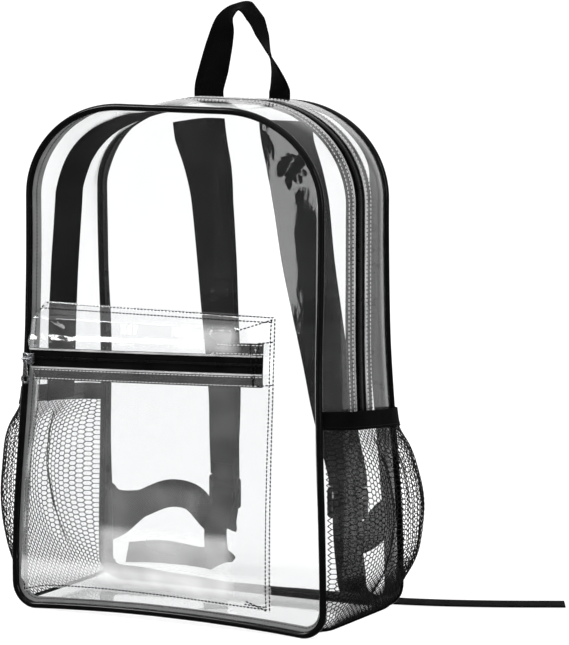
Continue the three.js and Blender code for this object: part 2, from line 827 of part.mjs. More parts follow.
// Round to the buckle. Columns: way across as before, then how far behind the strap's end and how
// far below the buckle as shares of the webbing's width, then the way the width points.
const turnRows = [
  [0.58, 0.24, -0.19, 0.35, 0.93],
  [0.76, 0.4, 0.48, 0.75, 0.6],
  [0.92, 0.28, 0.76, 0.9, 0.2],
];
const w = webbing.width;
const floorZ = webbing.thick / 2 + seam.gap;
for (const [side, way] of [["left", -1], ["right", 1]]) {
  const end = strapEnds[side];
  const lowZ = end.z - buckle.height - 2 * webbing.gap;
  const seamX = way * (halfWidthAt(webbing.anchorZ) - 2 * seam.radius);
  const seamBack = depthAt(webbing.anchorZ) / 2 + seam.radius;
  const [ux, uy] = [Math.cos(strap.turn), way * Math.sin(strap.turn)];
  const rows = [
    ...anchorRows.map(([place, back, up, wide]) => [
      mix(seamX, end.x, place), mix(seamBack, end.y, back), up * webbing.anchorZ,
      0, 0, 1, mix(w, webbing.anchorWidth, wide),
    ]),
    ...turnRows.map(([place, behind, below, wx, wz]) => [
      mix(seamX, end.x, place), end.y + behind * w, lowZ - below * w, -way * wx, 0, wz, w,
    ]),
    [end.x, end.y, lowZ - w / 3, -way * ux, -way * uy, 0, w],
    [end.x, end.y, lowZ, -way * ux, -way * uy, 0, w],
  ];
  addPiece(`lower_webbing_${side}`, bandBody(rows, webbing.thick, 20), blackCloth);
}

// The free ends come out at the front of the buckles and run out along the floor.
// Columns: step across from the strap's end as a share of the free end's reach, step back as a
// share of the strap's distance behind the bag, height above the floor as a share of the buckle's,
// then the way the width points.
const tailRows = {
  left: [
    [-0.02, -0.2, 0.69, 0.97, -0.2],
    [0.018, -0.17, 0.36, 1, -0.1],
    [0.036, -0.02, 0.11, 1, 0.1],
    [0.009, 0.2, 0.01, 0.88, 0.46],
    [-0.116, 0.41, 0, 0.6, 0.8],
    [-0.4, 0.57, 0, 0.1, 1],
    [-0.714, 0.46, 0, -0.25, 0.97],
    [-1, 0.25, 0, -0.35, 0.94],
  ],
  right: [
    [0.03, -0.2, 0.69, 0.97, 0.25],
    [0.061, -0.31, 0.3, 0.9, 0.4],
    [0.091, -0.43, 0.06, 0.7, 0.7],
    [0.157, -0.57, 0.005, 0.5, 0.85],
    [0.269, -0.64, 0, 0, 1],
    [0.452, -0.5, 0, -0.3, 0.95],
    [0.716, -0.13, 0, -0.36, 0.93],
    [1, 0.38, 0, -0.45, 0.9],
  ],
};
const tailReach = { left: webbing.tailLeft, right: webbing.tailRight };
for (const [side, way] of [["left", -1], ["right", 1]]) {
  const end = strapEnds[side];
  const reach = tailReach[side];
  const behind = end.y - bag.depthLow / 2 - seam.radius;
  const off = buckle.thick / 2 + webbing.thick / 2 + webbing.gap;
  const [ux, uy] = [Math.cos(strap.turn), way * Math.sin(strap.turn)];
  const start = [end.x + off * uy, end.y - off * ux];
  const topZ = end.z - buckle.height;
  const rows = [
    [start[0], start[1], topZ + buckle.bar, ux, uy, 0, w],
    [start[0], start[1], topZ, ux, uy, 0, w],
    ...tailRows[side].map(([dx, dy, up, wx, wy]) => [
      end.x + dx * reach, end.y + dy * behind, mix(floorZ, topZ, up), wx, wy, 0, w,
    ]),
  ];
  addPiece(`webbing_tail_${side}`, bandBody(rows, webbing.thick, 32), blackCloth);
}

export default object;
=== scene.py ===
# A clear backpack with black trim, standing on its flat bottom.
# Shapes are worked out in millimetres, in the frame's own axes, and become metres in addPiece.
import json
import math

import bpy
import numpy as np
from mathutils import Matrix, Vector, noise


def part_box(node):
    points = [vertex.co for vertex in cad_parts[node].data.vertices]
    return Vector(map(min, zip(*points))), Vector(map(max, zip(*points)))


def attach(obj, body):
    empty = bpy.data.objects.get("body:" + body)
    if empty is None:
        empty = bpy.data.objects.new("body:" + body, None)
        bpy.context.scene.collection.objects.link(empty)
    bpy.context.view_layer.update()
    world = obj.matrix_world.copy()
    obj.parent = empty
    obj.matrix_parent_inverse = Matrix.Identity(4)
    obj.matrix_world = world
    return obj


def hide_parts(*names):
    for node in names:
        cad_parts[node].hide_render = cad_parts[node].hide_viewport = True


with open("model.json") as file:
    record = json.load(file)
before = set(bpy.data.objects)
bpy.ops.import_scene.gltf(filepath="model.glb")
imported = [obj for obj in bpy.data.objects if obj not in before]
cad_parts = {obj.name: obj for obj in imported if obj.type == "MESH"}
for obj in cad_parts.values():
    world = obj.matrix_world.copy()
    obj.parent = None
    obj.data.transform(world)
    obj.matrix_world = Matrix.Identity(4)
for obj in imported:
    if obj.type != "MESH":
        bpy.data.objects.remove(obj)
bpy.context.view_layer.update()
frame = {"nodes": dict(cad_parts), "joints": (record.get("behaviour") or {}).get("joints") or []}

mm = 0.001
print("frame: loaded", len(frame["nodes"]), "nodes")

# The bag over its seams, with the same sizes as the frame.
bag = {
    "height": 430,
    "halfWidthLow": 150,
    "halfWidthHigh": 141.5,
    "depthLow": 142,
    "depthHigh": 116,
    "cornerLow": 22,
    "shoulderRun": 91.5,
    "shoulderDrop": 80,
    "crown": 5,
    "leftDent": 11,  # how far the left shoulder has sunk in between its seams
    "frontLift": 4.5,
    "frontBulge": 3,
    "backBulge": 2,
    "sheetHalf": 0.3,  # half the thickness of the clear sheet
    "seamRadius": 3,
    "seamReach": 2.2,  # how close the sheets come to the middle of the piping
}
shoulderX = bag["halfWidthHigh"] - bag["shoulderRun"]
shoulderZ = bag["height"] - bag["shoulderDrop"]


# Numbers and curves

def mix(a, b, share):
    return a + (b - a) * share


def clamp(share):
    return min(1.0, max(0.0, share))


def smooth(share):
    share = clamp(share)
    return share * share * (3 - 2 * share)


def tableAt(rows, position):
    # a smooth line through short rows of [position, value]
    if position <= rows[0][0]:
        return rows[0][1]
    if position >= rows[-1][0]:
        return rows[-1][1]
    here = next(k for k in range(1, len(rows)) if position <= rows[k][0])

    def slopeAt(k):
        before, after = rows[max(0, k - 1)], rows[min(len(rows) - 1, k + 1)]
        return (after[1] - before[1]) / (after[0] - before[0])

    (fromPlace, fromValue), (toPlace, toValue) = rows[here - 1], rows[here]
    span = toPlace - fromPlace
    t = (position - fromPlace) / span
    ease = t * t * (3 - 2 * t)
    startPull = t * (1 - t) ** 2 * span * slopeAt(here - 1)
    endPull = t * t * (t - 1) * span * slopeAt(here)
    return mix(fromValue, toValue, ease) + startPull + endPull


def ripple(x, y, seed, size):
    # soft, even noise between -1 and 1, the same on each run
    return noise.noise(Vector((x / size, y / size, seed * 7.31)))


def unit(vector):
    return vector / max(1e-9, np.linalg.norm(vector))


def units(vectors):
    return vectors / np.maximum(1e-9, np.linalg.norm(vectors, axis=1))[:, None]


def spread(low, high, count):
    return [mix(low, high, i / (count - 1)) for i in range(count)]


def alongLine(rows, share):
    # a point on the smooth line through the rows' first three columns
    count = len(rows) - 1
    place = share * count
    k = min(count - 1, int(place))
    weight = place - k
    points = [np.array(row[:3], float) for row in rows]
    p1, p2 = points[k], points[k + 1]
    p0 = points[k - 1] if k > 0 else 2 * p1 - p2
    p3 = points[k + 2] if k + 2 <= count else 2 * p2 - p1
    steps = [max(1e-4, np.linalg.norm(b - a) ** 0.5) for a, b in ((p0, p1), (p1, p2), (p2, p3))]
    d0, d1, d2 = steps
    pull1 = ((p1 - p0) / d0 - (p2 - p0) / (d0 + d1) + (p2 - p1) / d1) * d1
    pull2 = ((p2 - p1) / d1 - (p3 - p1) / (d1 + d2) + (p3 - p2) / d2) * d1
    c2 = -3 * p1 + 3 * p2 - 2 * pull1 - pull2
    c3 = 2 * p1 - 2 * p2 + pull1 + pull2
    return p1 + pull1 * weight + c2 * weight**2 + c3 * weight**3


# The bag's own form, as in the frame

def halfWidthAt(z):
    return mix(bag["halfWidthLow"], bag["halfWidthHigh"], smooth((z / bag["height"] - 0.07) / 0.51))


def depthAt(z):
    return mix(bag["depthLow"], bag["depthHigh"], smooth((z / bag["height"] - 0.09) / 0.7))


def edgePoint(place, inset, lift=0):
    # 0 to 1 along the bottom, to 2 round the corner, to 3 up the side, to 4 round the shoulder,
    # to 5 along the top, and negative on the left
    a = abs(place)
    lowX = bag["halfWidthLow"] - bag["cornerLow"]
    x, z = shoulderX * (5 - a), bag["height"] - inset
    if a <= 1:
        x, z = lowX * a, inset + lift * (1 - a * a)
    elif a <= 2:
        turn = (a - 1) * math.pi / 2
        radius = bag["cornerLow"] - inset
        x, z = lowX + radius * math.sin(turn), bag["cornerLow"] - radius * math.cos(turn)
    elif a <= 3:
        z = mix(bag["cornerLow"], shoulderZ, a - 2)
        x = halfWidthAt(z) - inset
    elif a <= 4:
        turn = (a - 3) * math.pi / 2
        x = shoulderX + (bag["shoulderRun"] - inset) * math.cos(turn)
        z = shoulderZ + (bag["shoulderDrop"] - inset) * math.sin(turn)
    return math.copysign(x, place), z


def placeAtHeight(z):
    return 2 + (z - bag["cornerLow"]) / (shoulderZ - bag["cornerLow"])


def seamY(place, way):
    return way * depthAt(edgePoint(place, bag["seamRadius"])[1]) / 2


def panelY(x, z, way):
    swell = bag["frontBulge"] if way < 0 else bag["backBulge"]
    across = min(1, abs(x) / halfWidthAt(z))
    up = min(1, abs(2 * z - bag["height"]) / bag["height"])
    return way * (depthAt(z) / 2 + swell * (1 - across**2) * (1 - up**2))


def sidePoint(place, across, out):
    # the wall between the seams: across is -1 at the front seam and 1 at the back one
    a = abs(place)
    flat = smooth((abs(across) - 0.6) / 0.4)
    low = (bag["seamRadius"] - 0.5) * (1 - flat * flat)
    shoulder = smooth((a - 2.6) / 0.6) * (1 - smooth((a - 4) / 0.7)) if place < 0 else 0
    crown = bag["crown"] - bag["leftDent"] * shoulder
    stand = mix(low, crown * (1 - across**4), smooth(a - 1.3))
    lift = bag["frontLift"] * flat if across < 0 else 0
    x, z = edgePoint(place, bag["seamRadius"] - stand - out, lift)
    return np.array([x, across * (seamY(place, 1) - bag["seamReach"]), z])


def sidePointAtY(place, y, out):
    return sidePoint(place, y / (seamY(place, 1) - bag["seamReach"]), out)


def loopPlaces(low, corner, side, shoulder, top):
    # places once round the outline, with that many steps in each stretch
    counts = [low, corner, side, shoulder, top]
    half = [k + i / n for k, n in enumerate(counts) for i in range(n)] + [5.0]
    return half + [-place for place in half[-2:0:-1]]


# Making meshes

def turnedOut(points, faces):
    # turns the faces of a closed body to look out
    volume = 0.0
    for face in faces:
        for k in range(1, len(face) - 1):
            volume += np.dot(points[face[0]], np.cross(points[face[k]], points[face[k + 1]]))
    return [face[::-1] for face in faces] if volume < 0 else faces


sag = {
    "down": 6,
    "fromX": -30,
    "fromY": -58,
    "fromZ": 335,
    "runX": 50,
    "runY": 80,
    "runZ": 80,
    "endAbove": 12,  # over the bag's height, so that the handle stays where it is
    "endRun": 8,
}


def settled(points):
    # the soft bag has dropped a little at its top left corner, towards the back
    x, y, z = points.T
    share = np.clip((sag["fromX"] - x) / sag["runX"], 0, 1)
    share *= np.clip((y - sag["fromY"]) / sag["runY"], 0, 1)
    share *= np.clip((z - sag["fromZ"]) / sag["runZ"], 0, 1)
    share *= np.clip((bag["height"] + sag["endAbove"] - z) / sag["endRun"], 0, 1)
    points[:, 2] = z - sag["down"] * share * share * (3 - 2 * share)
    return points


def addPiece(name, points, faces, material, nodes=(), uv=None, body="bag", sharp=50):
    points = settled(np.array(points, float))
    mesh = bpy.data.meshes.new(name)
    mesh.from_pydata((points * mm).tolist(), [], faces)
    mesh.shade_smooth()
    mesh.set_sharp_from_angle(angle=math.radians(sharp))
    if uv is not None:
        layer = mesh.uv_layers.new(name="weave")
        corners = np.zeros(len(mesh.loops), int)
        mesh.loops.foreach_get("vertex_index", corners)
        layer.data.foreach_set("uv", np.asarray(uv, float)[corners].ravel())
    mesh.materials.append(material)
    piece = bpy.data.objects.new(name, mesh)
    bpy.context.scene.collection.objects.link(piece)
    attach(piece, body)
    if nodes:
        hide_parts(*nodes)
    return piece


def gridFaces(rows, columns, first=0, ring=False):
    faces = []
    for r in range(rows - 1):
        for c in range(columns if ring else columns - 1):
            a, b = first + r * columns + c, first + r * columns + (c + 1) % columns
            faces.append([a, b, b + columns, a + columns])
    return faces


def gridUv(grid):
    # lengths along both ways of a grid, in millimetres
    rows, columns = grid.shape[:2]
    u = np.zeros((rows, columns))
    v = np.zeros((rows, columns))
    v[1:, :] = np.cumsum(np.linalg.norm(np.diff(grid, axis=0), axis=2), axis=0)
    u[:, 1:] = np.cumsum(np.linalg.norm(np.diff(grid, axis=1), axis=2), axis=1)
    return np.stack([u.ravel(), v.ravel()], axis=1)


innerStart = 200  # where the weave of a sheet's inner face starts, in millimetres


def shellBody(outer, inner):
    # a closed sheet from two grids of the same size
    rows, columns = outer.shape[:2]
    points = np.concatenate([outer.reshape(-1, 3), inner.reshape(-1, 3)])
    far = rows * columns
    faces = gridFaces(rows, columns)
    faces += [face[::-1] for face in gridFaces(rows, columns, far)]
    rim = [c for c in range(columns)]
    rim += [r * columns + columns - 1 for r in range(1, rows)]
    rim += [(rows - 1) * columns + c for c in range(columns - 2, -1, -1)]
    rim += [r * columns for r in range(rows - 2, 0, -1)]
    for here, after in zip(rim, rim[1:] + rim[:1]):
        faces.append([after, here, far + here, far + after])
    return points, turnedOut(points, faces), np.concatenate([gridUv(outer), gridUv(inner) + innerStart])


def addShell(name, surface, rowPlaces, columnPlaces, outers, material, nodes=()):
    # surface(row, column, out) gives a point, and outers are its two faces' heights
    grids = [np.array([[surface(r, c, out) for c in columnPlaces] for r in rowPlaces]) for out in outers]
    points, faces, uv = shellBody(*grids)
    return addPiece(name, points, faces, material, nodes, uv)


def sweptBody(sections, isRing):
    sections = np.asarray(sections, float)
    count, sides = sections.shape[:2]
    points = sections.reshape(-1, 3)
    faces = gridFaces(count, sides, 0, True)
    if isRing:
        last = (count - 1) * sides
        faces += [[last + c, last + (c + 1) % sides, (c + 1) % sides, c] for c in range(sides)]
    else:
        faces += [list(range(sides))[::-1], [(count - 1) * sides + c for c in range(sides)]]
    return points, turnedOut(points, faces)


def ribbonGrid(rows, thick, steps, columns=8):
    # A flat band along a line. Rows are x, y, z, the way the width points, and the width.
    sections, uv, middles = [], [], []
    length = 0.0
    for i in range(steps + 1):
        share = i / steps
        middle = alongLine(rows, share)
        tangent = unit(alongLine(rows, min(1, share + 1e-3)) - alongLine(rows, max(0, share - 1e-3)))
        place = share * (len(rows) - 1)
        k = min(len(rows) - 2, int(place))
        row = mix(np.array(rows[k], float), np.array(rows[k + 1], float), place - k)
        across = unit(row[3:6] - tangent * np.dot(row[3:6], tangent))
        facing = np.cross(tangent, across)
        if middles:
            length += np.linalg.norm(middle - middles[-1])
        middles.append(middle)
        offsets = [j / columns - 0.5 for j in range(columns + 1)]
        section, marks = [], []
        for way, order in ((1, offsets), (-1, offsets[::-1])):
            for offset in order:
                edge = 0.55 if abs(offset) > 0.49 else 1.0
                section.append(middle + across * offset * row[6] + facing * way * thick / 2 * edge)
                marks.append([length, offset * row[6]])
        sections.append(section)
        uv += marks
    return np.array(sections), np.array(uv)


def addRibbon(name, rows, thick, steps, material, nodes=(), columns=8):
    sections, uv = ribbonGrid(rows, thick, steps, columns)
    points, faces = sweptBody(sections, False)
    return addPiece(name, points, faces, material, nodes, uv)


def resample(line, pitch, *others):
    # evenly spaced points on a line, with the ways there, and the others read at the same places
    line = np.asarray(line, float)
    lengths = np.concatenate([[0], np.cumsum(np.linalg.norm(np.diff(line, axis=0), axis=1))])
    marks = np.arange(pitch / 2, lengths[-1], pitch)

    def read(values):
        values = np.asarray(values, float)
        return np.stack([np.interp(marks, lengths, values[:, k]) for k in range(values.shape[1])], axis=1)

    places = read(line)
    ahead = np.stack([np.interp(marks + 0.3, lengths, line[:, k]) for k in range(3)], axis=1)
    behind = np.stack([np.interp(marks - 0.3, lengths, line[:, k]) for k in range(3)], axis=1)
    return [places, units(ahead - behind)] + [units(read(values)) for values in others]


def barShape(length, rings, sides):
    # a closed bar along x; rings are [place along as a share of the length, radius]
    points = []
    for place, radius in rings:
        for s in range(sides):
            turn = 2 * math.pi * s / sides
            points.append([place * length, radius * math.cos(turn), radius * math.sin(turn)])
    faces = [face[::-1] for face in gridFaces(len(rings), sides, 0, True)]
    faces += [list(range(sides)), [(len(rings) - 1) * sides + s for s in range(sides)][::-1]]
    points = np.array(points)
    return points, turnedOut(points, faces)


def scattered(shape, places, alongs, ups, stretch=None):
    # copies of one shape at many places, joined
    points, faces = shape
    acrosses = units(np.cross(ups, alongs))
    lifts = np.cross(alongs, acrosses)
    stretch = np.ones(len(places)) if stretch is None else stretch
    made = (
        places[:, None, :]
        + alongs[:, None, :] * (points[None, :, 0] * stretch[:, None])[..., None]
        + acrosses[:, None, :] * points[None, :, 1, None]
        + lifts[:, None, :] * points[None, :, 2, None]
    )
    size = len(points)
    allFaces = [[i + k * size for i in face] for k in range(len(places)) for face in faces]
    return made.reshape(-1, 3), allFaces


def joined(bodies):
    points, faces, first = [], [], 0
    for body in bodies:
        points.append(np.asarray(body[0]))
        faces += [[i + first for i in face] for face in body[1]]
        first += len(body[0])
    return np.concatenate(points), faces


def stitches(line, ups, pitch=3.2, length=2.5, radius=0.32, sides=5):
    rings = [[-0.5, radius * 0.5], [-0.3, radius], [0.3, radius], [0.5, radius * 0.5]]
    places, alongs, lifts = resample(line, pitch, ups)
    return scattered(barShape(length, rings, sides), places, alongs, lifts)


# Materials

def newMaterial(name):
    material = bpy.data.materials.new(name)
    material.use_nodes = True
    tree = material.node_tree
    tree.nodes.clear()
    return material, tree


def put(tree, kind, values=None, **settings):
    node = tree.nodes.new("ShaderNode" + kind)
    for key, value in settings.items():
        setattr(node, key, value)
    for key, value in (values or {}).items():
        if isinstance(value, bpy.types.NodeSocket):
            tree.links.new(value, node.inputs[key])
        else:
            node.inputs[key].default_value = value
    return node


def maths(tree, operation, *values):
    return put(tree, "Math", dict(enumerate(values)), operation=operation).outputs[0]


def noiseOf(tree, vector, scale, detail=3, roughness=0.5):
    values = {"Vector": vector, "Scale": scale, "Detail": detail, "Roughness": roughness}
    return put(tree, "TexNoise", values).outputs["Fac"]


def ranged(tree, value, low, high, toLow, toHigh):
    values = {"Value": value, "From Min": low, "From Max": high, "To Min": toLow, "To Max": toHigh}
    return put(tree, "MapRange", values).outputs["Result"]


def blended(tree, share, first, second):
    node = put(tree, "Mix", {"Factor": share}, data_type="RGBA")
    node.inputs[6].default_value = first
    node.inputs[7].default_value = second
    return node.outputs[2]


def grey(level):
    return (level, level, level, 1)


def clearSheet(name, shine, haze, tint, roughness, waves, sheenPatches=()):
    # Thin clear plastic: seen through, with a coat of reflections that grows towards its edges, a milky haze, and
    # milky patches of painted sheen where listed.
    material, tree = newMaterial(name)
    where = put(tree, "TexCoord").outputs["Object"]
    stretched = put(tree, "Mapping", {"Vector": where, "Scale": (1, 1, 0.35)}).outputs[0]
    slow = noiseOf(tree, stretched, 16, 2)
    fine = noiseOf(tree, stretched, 70, 3)
    height = maths(tree, "MULTIPLY_ADD", fine, 0.22, slow)
    bump = put(tree, "Bump", {"Strength": 1.0, "Distance": waves * mm, "Height": height}).outputs[0]
    facing = put(tree, "LayerWeight", {"Blend": 0.5, "Normal": bump}).outputs["Facing"]
    curve = maths(tree, "POWER", facing, 5.0)
    mirrored = maths(tree, "MULTIPLY_ADD", curve, 1 - shine, shine)
    through = put(tree, "BsdfTransparent", {"Color": tint})
    gloss = put(tree, "BsdfGlossy", {"Color": grey(0.96), "Roughness": roughness, "Normal": bump})
    sheet = put(tree, "MixShader", {0: mirrored, 1: through.outputs[0], 2: gloss.outputs[0]})
    # this diffuse white gives both the sheet's own haze and the painted sheen patches
    hazeAndSheenWhite = put(tree, "BsdfDiffuse", {"Color": grey(0.85)})
    hazeAndSheen = ranged(tree, noiseOf(tree, where, 25, 4), 0.35, 0.75, haze * 0.5, haze * 1.5)
    parts = put(tree, "SeparateXYZ", {0: where})
    for fromX, toX, fromZ, toZ, amount in sheenPatches:
        # a painted reflection: a milky patch of white that stands in for light reflected off the sheet
        sheenBlot = ranged(tree, noiseOf(tree, where, 26, 2), 0.3, 0.7, 0.6 * amount, amount)
        for axis, low, high, run in ((0, fromX, toX, 0.010), (2, fromZ, toZ, 0.008)):
            sheenBlot = maths(tree, "MULTIPLY", sheenBlot, ranged(tree, parts.outputs[axis], low, low + run, 0, 1))
            sheenBlot = maths(tree, "MULTIPLY", sheenBlot, ranged(tree, parts.outputs[axis], high - run, high, 1, 0))
        hazeAndSheen = maths(tree, "ADD", hazeAndSheen, sheenBlot)
    whole = put(tree, "MixShader", {0: hazeAndSheen, 1: sheet.outputs[0], 2: hazeAndSheenWhite.outputs[0]})
    put(tree, "OutputMaterial", {"Surface": whole.outputs[0]})
    return material


def weaveHeight(tree, along, across):
    # plain weave: threads along and across go over each other in turn
    uv = put(tree, "UVMap", uv_map="weave").outputs[0]
    parts = put(tree, "SeparateXYZ", {0: uv})
    u, v = parts.outputs[0], parts.outputs[1]
    lane = maths(tree, "FLOOR", maths(tree, "DIVIDE", v, across))
    turn = maths(tree, "MULTIPLY_ADD", lane, math.pi, maths(tree, "MULTIPLY", u, 2 * math.pi / along))
    over = maths(tree, "MULTIPLY_ADD", maths(tree, "SINE", turn), 0.5, 0.5)
    rib = maths(tree, "ABSOLUTE", maths(tree, "SINE", maths(tree, "MULTIPLY", v, math.pi / across)))
    return maths(tree, "MULTIPLY", over, rib)


def wovenCloth(name, along, across, dark, light, roughness, depth, pale=None):
    # pale says how grey a zip tape's outer face is painted under the sheet, and how far from its teeth; this grey
    # is painted sheen, standing in for light reflected off the clear sheet over the black tape
    material, tree = newMaterial(name)
    weave = weaveHeight(tree, along, across)
    where = put(tree, "TexCoord").outputs["Object"]
    worn = ranged(tree, noiseOf(tree, where, 60, 4), 0.3, 0.7, 0, 1)
    share = maths(tree, "MULTIPLY_ADD", worn, 0.35, maths(tree, "MULTIPLY", weave, 0.65))
    colour = blended(tree, share, grey(dark), grey(light))
    if pale:
        uv = put(tree, "SeparateXYZ", {0: put(tree, "UVMap", uv_map="weave").outputs[0]})
        off = maths(tree, "ABSOLUTE", maths(tree, "SUBTRACT", uv.outputs[0], pale["middle"]))
        edge = ranged(tree, off, pale["from"], pale["from"] + 1, 0, 1)
        patchy = ranged(tree, noiseOf(tree, where, 260, 4, 0.7), 0.35, 0.65, 0.1, 1.0)
        outside = maths(tree, "LESS_THAN", uv.outputs[0], innerStart / 2)
        share = maths(tree, "MULTIPLY", maths(tree, "MULTIPLY", edge, patchy), outside)
        values = {"Factor": share, 6: colour, 7: grey(pale["level"])}
        colour = put(tree, "Mix", values, data_type="RGBA").outputs[2]
    rough = ranged(tree, worn, 0, 1, roughness - 0.06, roughness + 0.06)
    bump = put(tree, "Bump", {"Strength": 1.0, "Distance": depth * mm, "Height": weave}).outputs[0]
    values = {
        "Base Color": colour, "Roughness": rough, "Normal": bump, "Specular IOR Level": 0.03,
    }
    shader = put(tree, "BsdfPrincipled", values)
    put(tree, "OutputMaterial", {"Surface": shader.outputs[0]})
    return material


def mouldedPlastic(name, level, roughness, grain, specular):
    # solid plastic, with fine grain and slightly uneven gloss
    material, tree = newMaterial(name)
    where = put(tree, "TexCoord").outputs["Object"]
    patches = noiseOf(tree, where, 90, 3)
    colour = blended(tree, patches, grey(level * 0.75), grey(level * 1.3))
    rough = ranged(tree, patches, 0.3, 0.7, roughness * 0.8, roughness * 1.25)
    pores = noiseOf(tree, where, 900, 2)
    bump = put(tree, "Bump", {"Strength": 1.0, "Distance": grain * mm, "Height": pores}).outputs[0]
    values = {"Base Color": colour, "Roughness": rough, "Normal": bump, "Specular IOR Level": specular}
    shader = put(tree, "BsdfPrincipled", values)
    put(tree, "OutputMaterial", {"Surface": shader.outputs[0]})
    return material


def platedMetal(name):
    material, tree = newMaterial(name)
    where = put(tree, "TexCoord").outputs["Object"]
    marks = noiseOf(tree, where, 500, 4, 0.6)
    colour = blended(tree, marks, (0.50, 0.51, 0.53, 1), (0.72, 0.73, 0.75, 1))
    rough = ranged(tree, marks, 0.3, 0.7, 0.16, 0.34)
    bump = put(tree, "Bump", {"Strength": 0.6, "Distance": 0.03 * mm, "Height": marks}).outputs[0]
    values = {"Base Color": colour, "Roughness": rough, "Metallic": 1.0, "Normal": bump}
    shader = put(tree, "BsdfPrincipled", values)
    put(tree, "OutputMaterial", {"Surface": shader.outputs[0]})
    return material


clearPanel = clearSheet("clear panel", 0.035, 0.004, (0.985, 0.987, 0.988, 1), 0.03, 0.5)
clearStrip = clearSheet("clear strip", 0.035, 0.010, (0.98, 0.982, 0.984, 1), 0.12, 1.0)
# Painted sheen: milky patches that stand in for light reflected off the pocket's sheet. Columns: from x, to x,
# from z, to z, amount.
paintedSheenPatches = [
    [-0.14, 0.11, 0.0, 0.05, 0.28],
    [-0.06, 0.07, 0.026, 0.082, 0.25],
    [0.012, 0.072, 0.226, 0.254, 0.3],
    [-0.05, 0.04, 0.06, 0.12, 0.05],
]
clearPocket = clearSheet("clear pocket", 0.05, 0.034, (0.98, 0.983, 0.985, 1), 0.05, 2.0, paintedSheenPatches)
clearHem = clearSheet("clear hem", 0.08, 0.30, (0.9, 0.903, 0.907, 1), 0.12, 1.5)
vinylBead = mouldedPlastic("black vinyl bead", 0.002, 0.15, 0.02, 0.25)
# The front seam's tape is black; its grey level of 0.2 is painted sheen, standing in for light reflected off the
# clear sheet over it.
sheenGreySeamTape = mouldedPlastic("black seam tape with painted sheen", 0.2, 0.35, 0.05, 0.4)
backTape = mouldedPlastic("black back seam tape", 0.025, 0.3, 0.05, 0.5)
zipTape = wovenCloth("black zip tape", 0.9, 0.7, 0.001, 0.006, 0.75, 0.10)
webCloth = wovenCloth("black webbing", 1.9, 1.3, 0.0005, 0.004, 0.75, 0.22)
strapCloth = wovenCloth("black strap cloth", 0.8, 0.8, 0.001, 0.004, 0.8, 0.08)
elasticCloth = wovenCloth("black elastic", 1.6, 0.9, 0.0005, 0.005, 0.7, 0.20)
netThread = mouldedPlastic("black net thread", 0.002, 0.55, 0.01, 0.2)
stitchThread = mouldedPlastic("black stitch thread", 0.002, 0.6, 0.01, 0.2)
# Painted highlight: the zips' stitches are black thread painted pale grey, standing in for glints of light on them
# and on the sheet's dimples round them.
glintPaintedThread = mouldedPlastic("stitch thread with painted glint", 0.6, 0.5, 0.01, 0.3)
nylonTeeth = mouldedPlastic("black nylon teeth", 0.002, 0.3, 0.01, 0.3)
buckleBlack = mouldedPlastic("black buckle", 0.004, 0.38, 0.03, 0.4)
silverMetal = platedMetal("silver plated metal")
print("materials: made")

# Clear panels. Rows run up the outline, columns from the left seam to the right one.

panels = {
    "columns": spread(-1, 0.5, 56)[:-1] + spread(0.5, 1, 40),
    "inset": 4.6,  # from the outline to the sheet's edge, inside the piping
    "sway": 0.8,  # how far the sheet waves in and out
    # Creases near the right shoulder. Columns: x, z, slope, length, half width, depth.
    "creases": [
        [112, 386, 0.9, 9, 2.6, 1.5],
        [116, 377, 0.8, 8, 2.2, -1.2],
        [-118, 60, 1.2, 16, 3.5, 0.8],
    ],
}
panelRows = [1 + i / 9 for i in range(9)] + [2 + i / 46 for i in range(46)] + [3 + i / 26 for i in range(27)]


def creased(rows, x, z):
    depth = 0.0
    for cx, cz, slope, length, halfWidth, height in rows:
        along = unit(np.array([1.0, slope]))
        reach = (x - cx) * along[0] + (z - cz) * along[1]
        off = (x - cx) * along[1] - (z - cz) * along[0]
        depth += height * math.exp(-((reach / length) ** 2) - (off / halfWidth) ** 2)
    return depth


def panelPoint(place, share, way, out):
    lift = bag["frontLift"] if way < 0 else 0
    width, z = edgePoint(place, panels["inset"])
    x = share * width
    z += lift * (1 - share * share) * (1 - smooth((z - panels["inset"]) / 60))
    sway = panels["sway"] * ripple(x, z * 0.6, 3 + way, 55) * smooth((1 - abs(share)) * 6)
    sway += creased(panels["creases"], x, z) if way < 0 else 0
    return np.array([x, panelY(x, z, way) + way * (out + sway), z])


sheetFaces = (bag["sheetHalf"], -bag["sheetHalf"])
for name, node, way in (("frontPanel", "front_panel", -1), ("backPanel", "back_panel", 1)):
    def surface(row, column, out, way=way):
        return panelPoint(row, column, way, out)
    addShell(name, surface, panelRows, panels["columns"], sheetFaces, clearPanel, [node])

# Side walls: one sheet round the bottom, and two strips beside the main zip.

walls = {
    "lowEnd": 169,
    "acrossLow": spread(-1, 1, 33),
    "slotHalf": 9.3,
    "hemWidth": 1.8,
    "sway": 0.7,
}
lowEnd = placeAtHeight(walls["lowEnd"] - 0.4)
zipEnd = placeAtHeight(walls["lowEnd"] + 0.4)
lowHalf = [i / 20 for i in range(20)] + [1 + i / 12 for i in range(12)] + spread(2, lowEnd, 20)
lowPlaces = [-place for place in lowHalf[:0:-1]] + lowHalf
highHalf = spread(zipEnd, 3, 30)[:-1] + [3 + i / 30 for i in range(30)] + [4 + i / 9 for i in range(10)]
highPlaces = highHalf + [-place for place in highHalf[-2::-1]]


def wallSway(place, across):
    around = place * 95
    swell = ripple(around, across * 50, 5, 46)
    return walls["sway"] * swell * smooth((1 - abs(across)) * 4)


def wallPoint(place, across, out):
    return sidePoint(place, across, out + wallSway(place, across))


addShell(
    "lowerWall", wallPoint, lowPlaces, walls["acrossLow"], sheetFaces, clearPanel,
    ["lower_wall"],
)


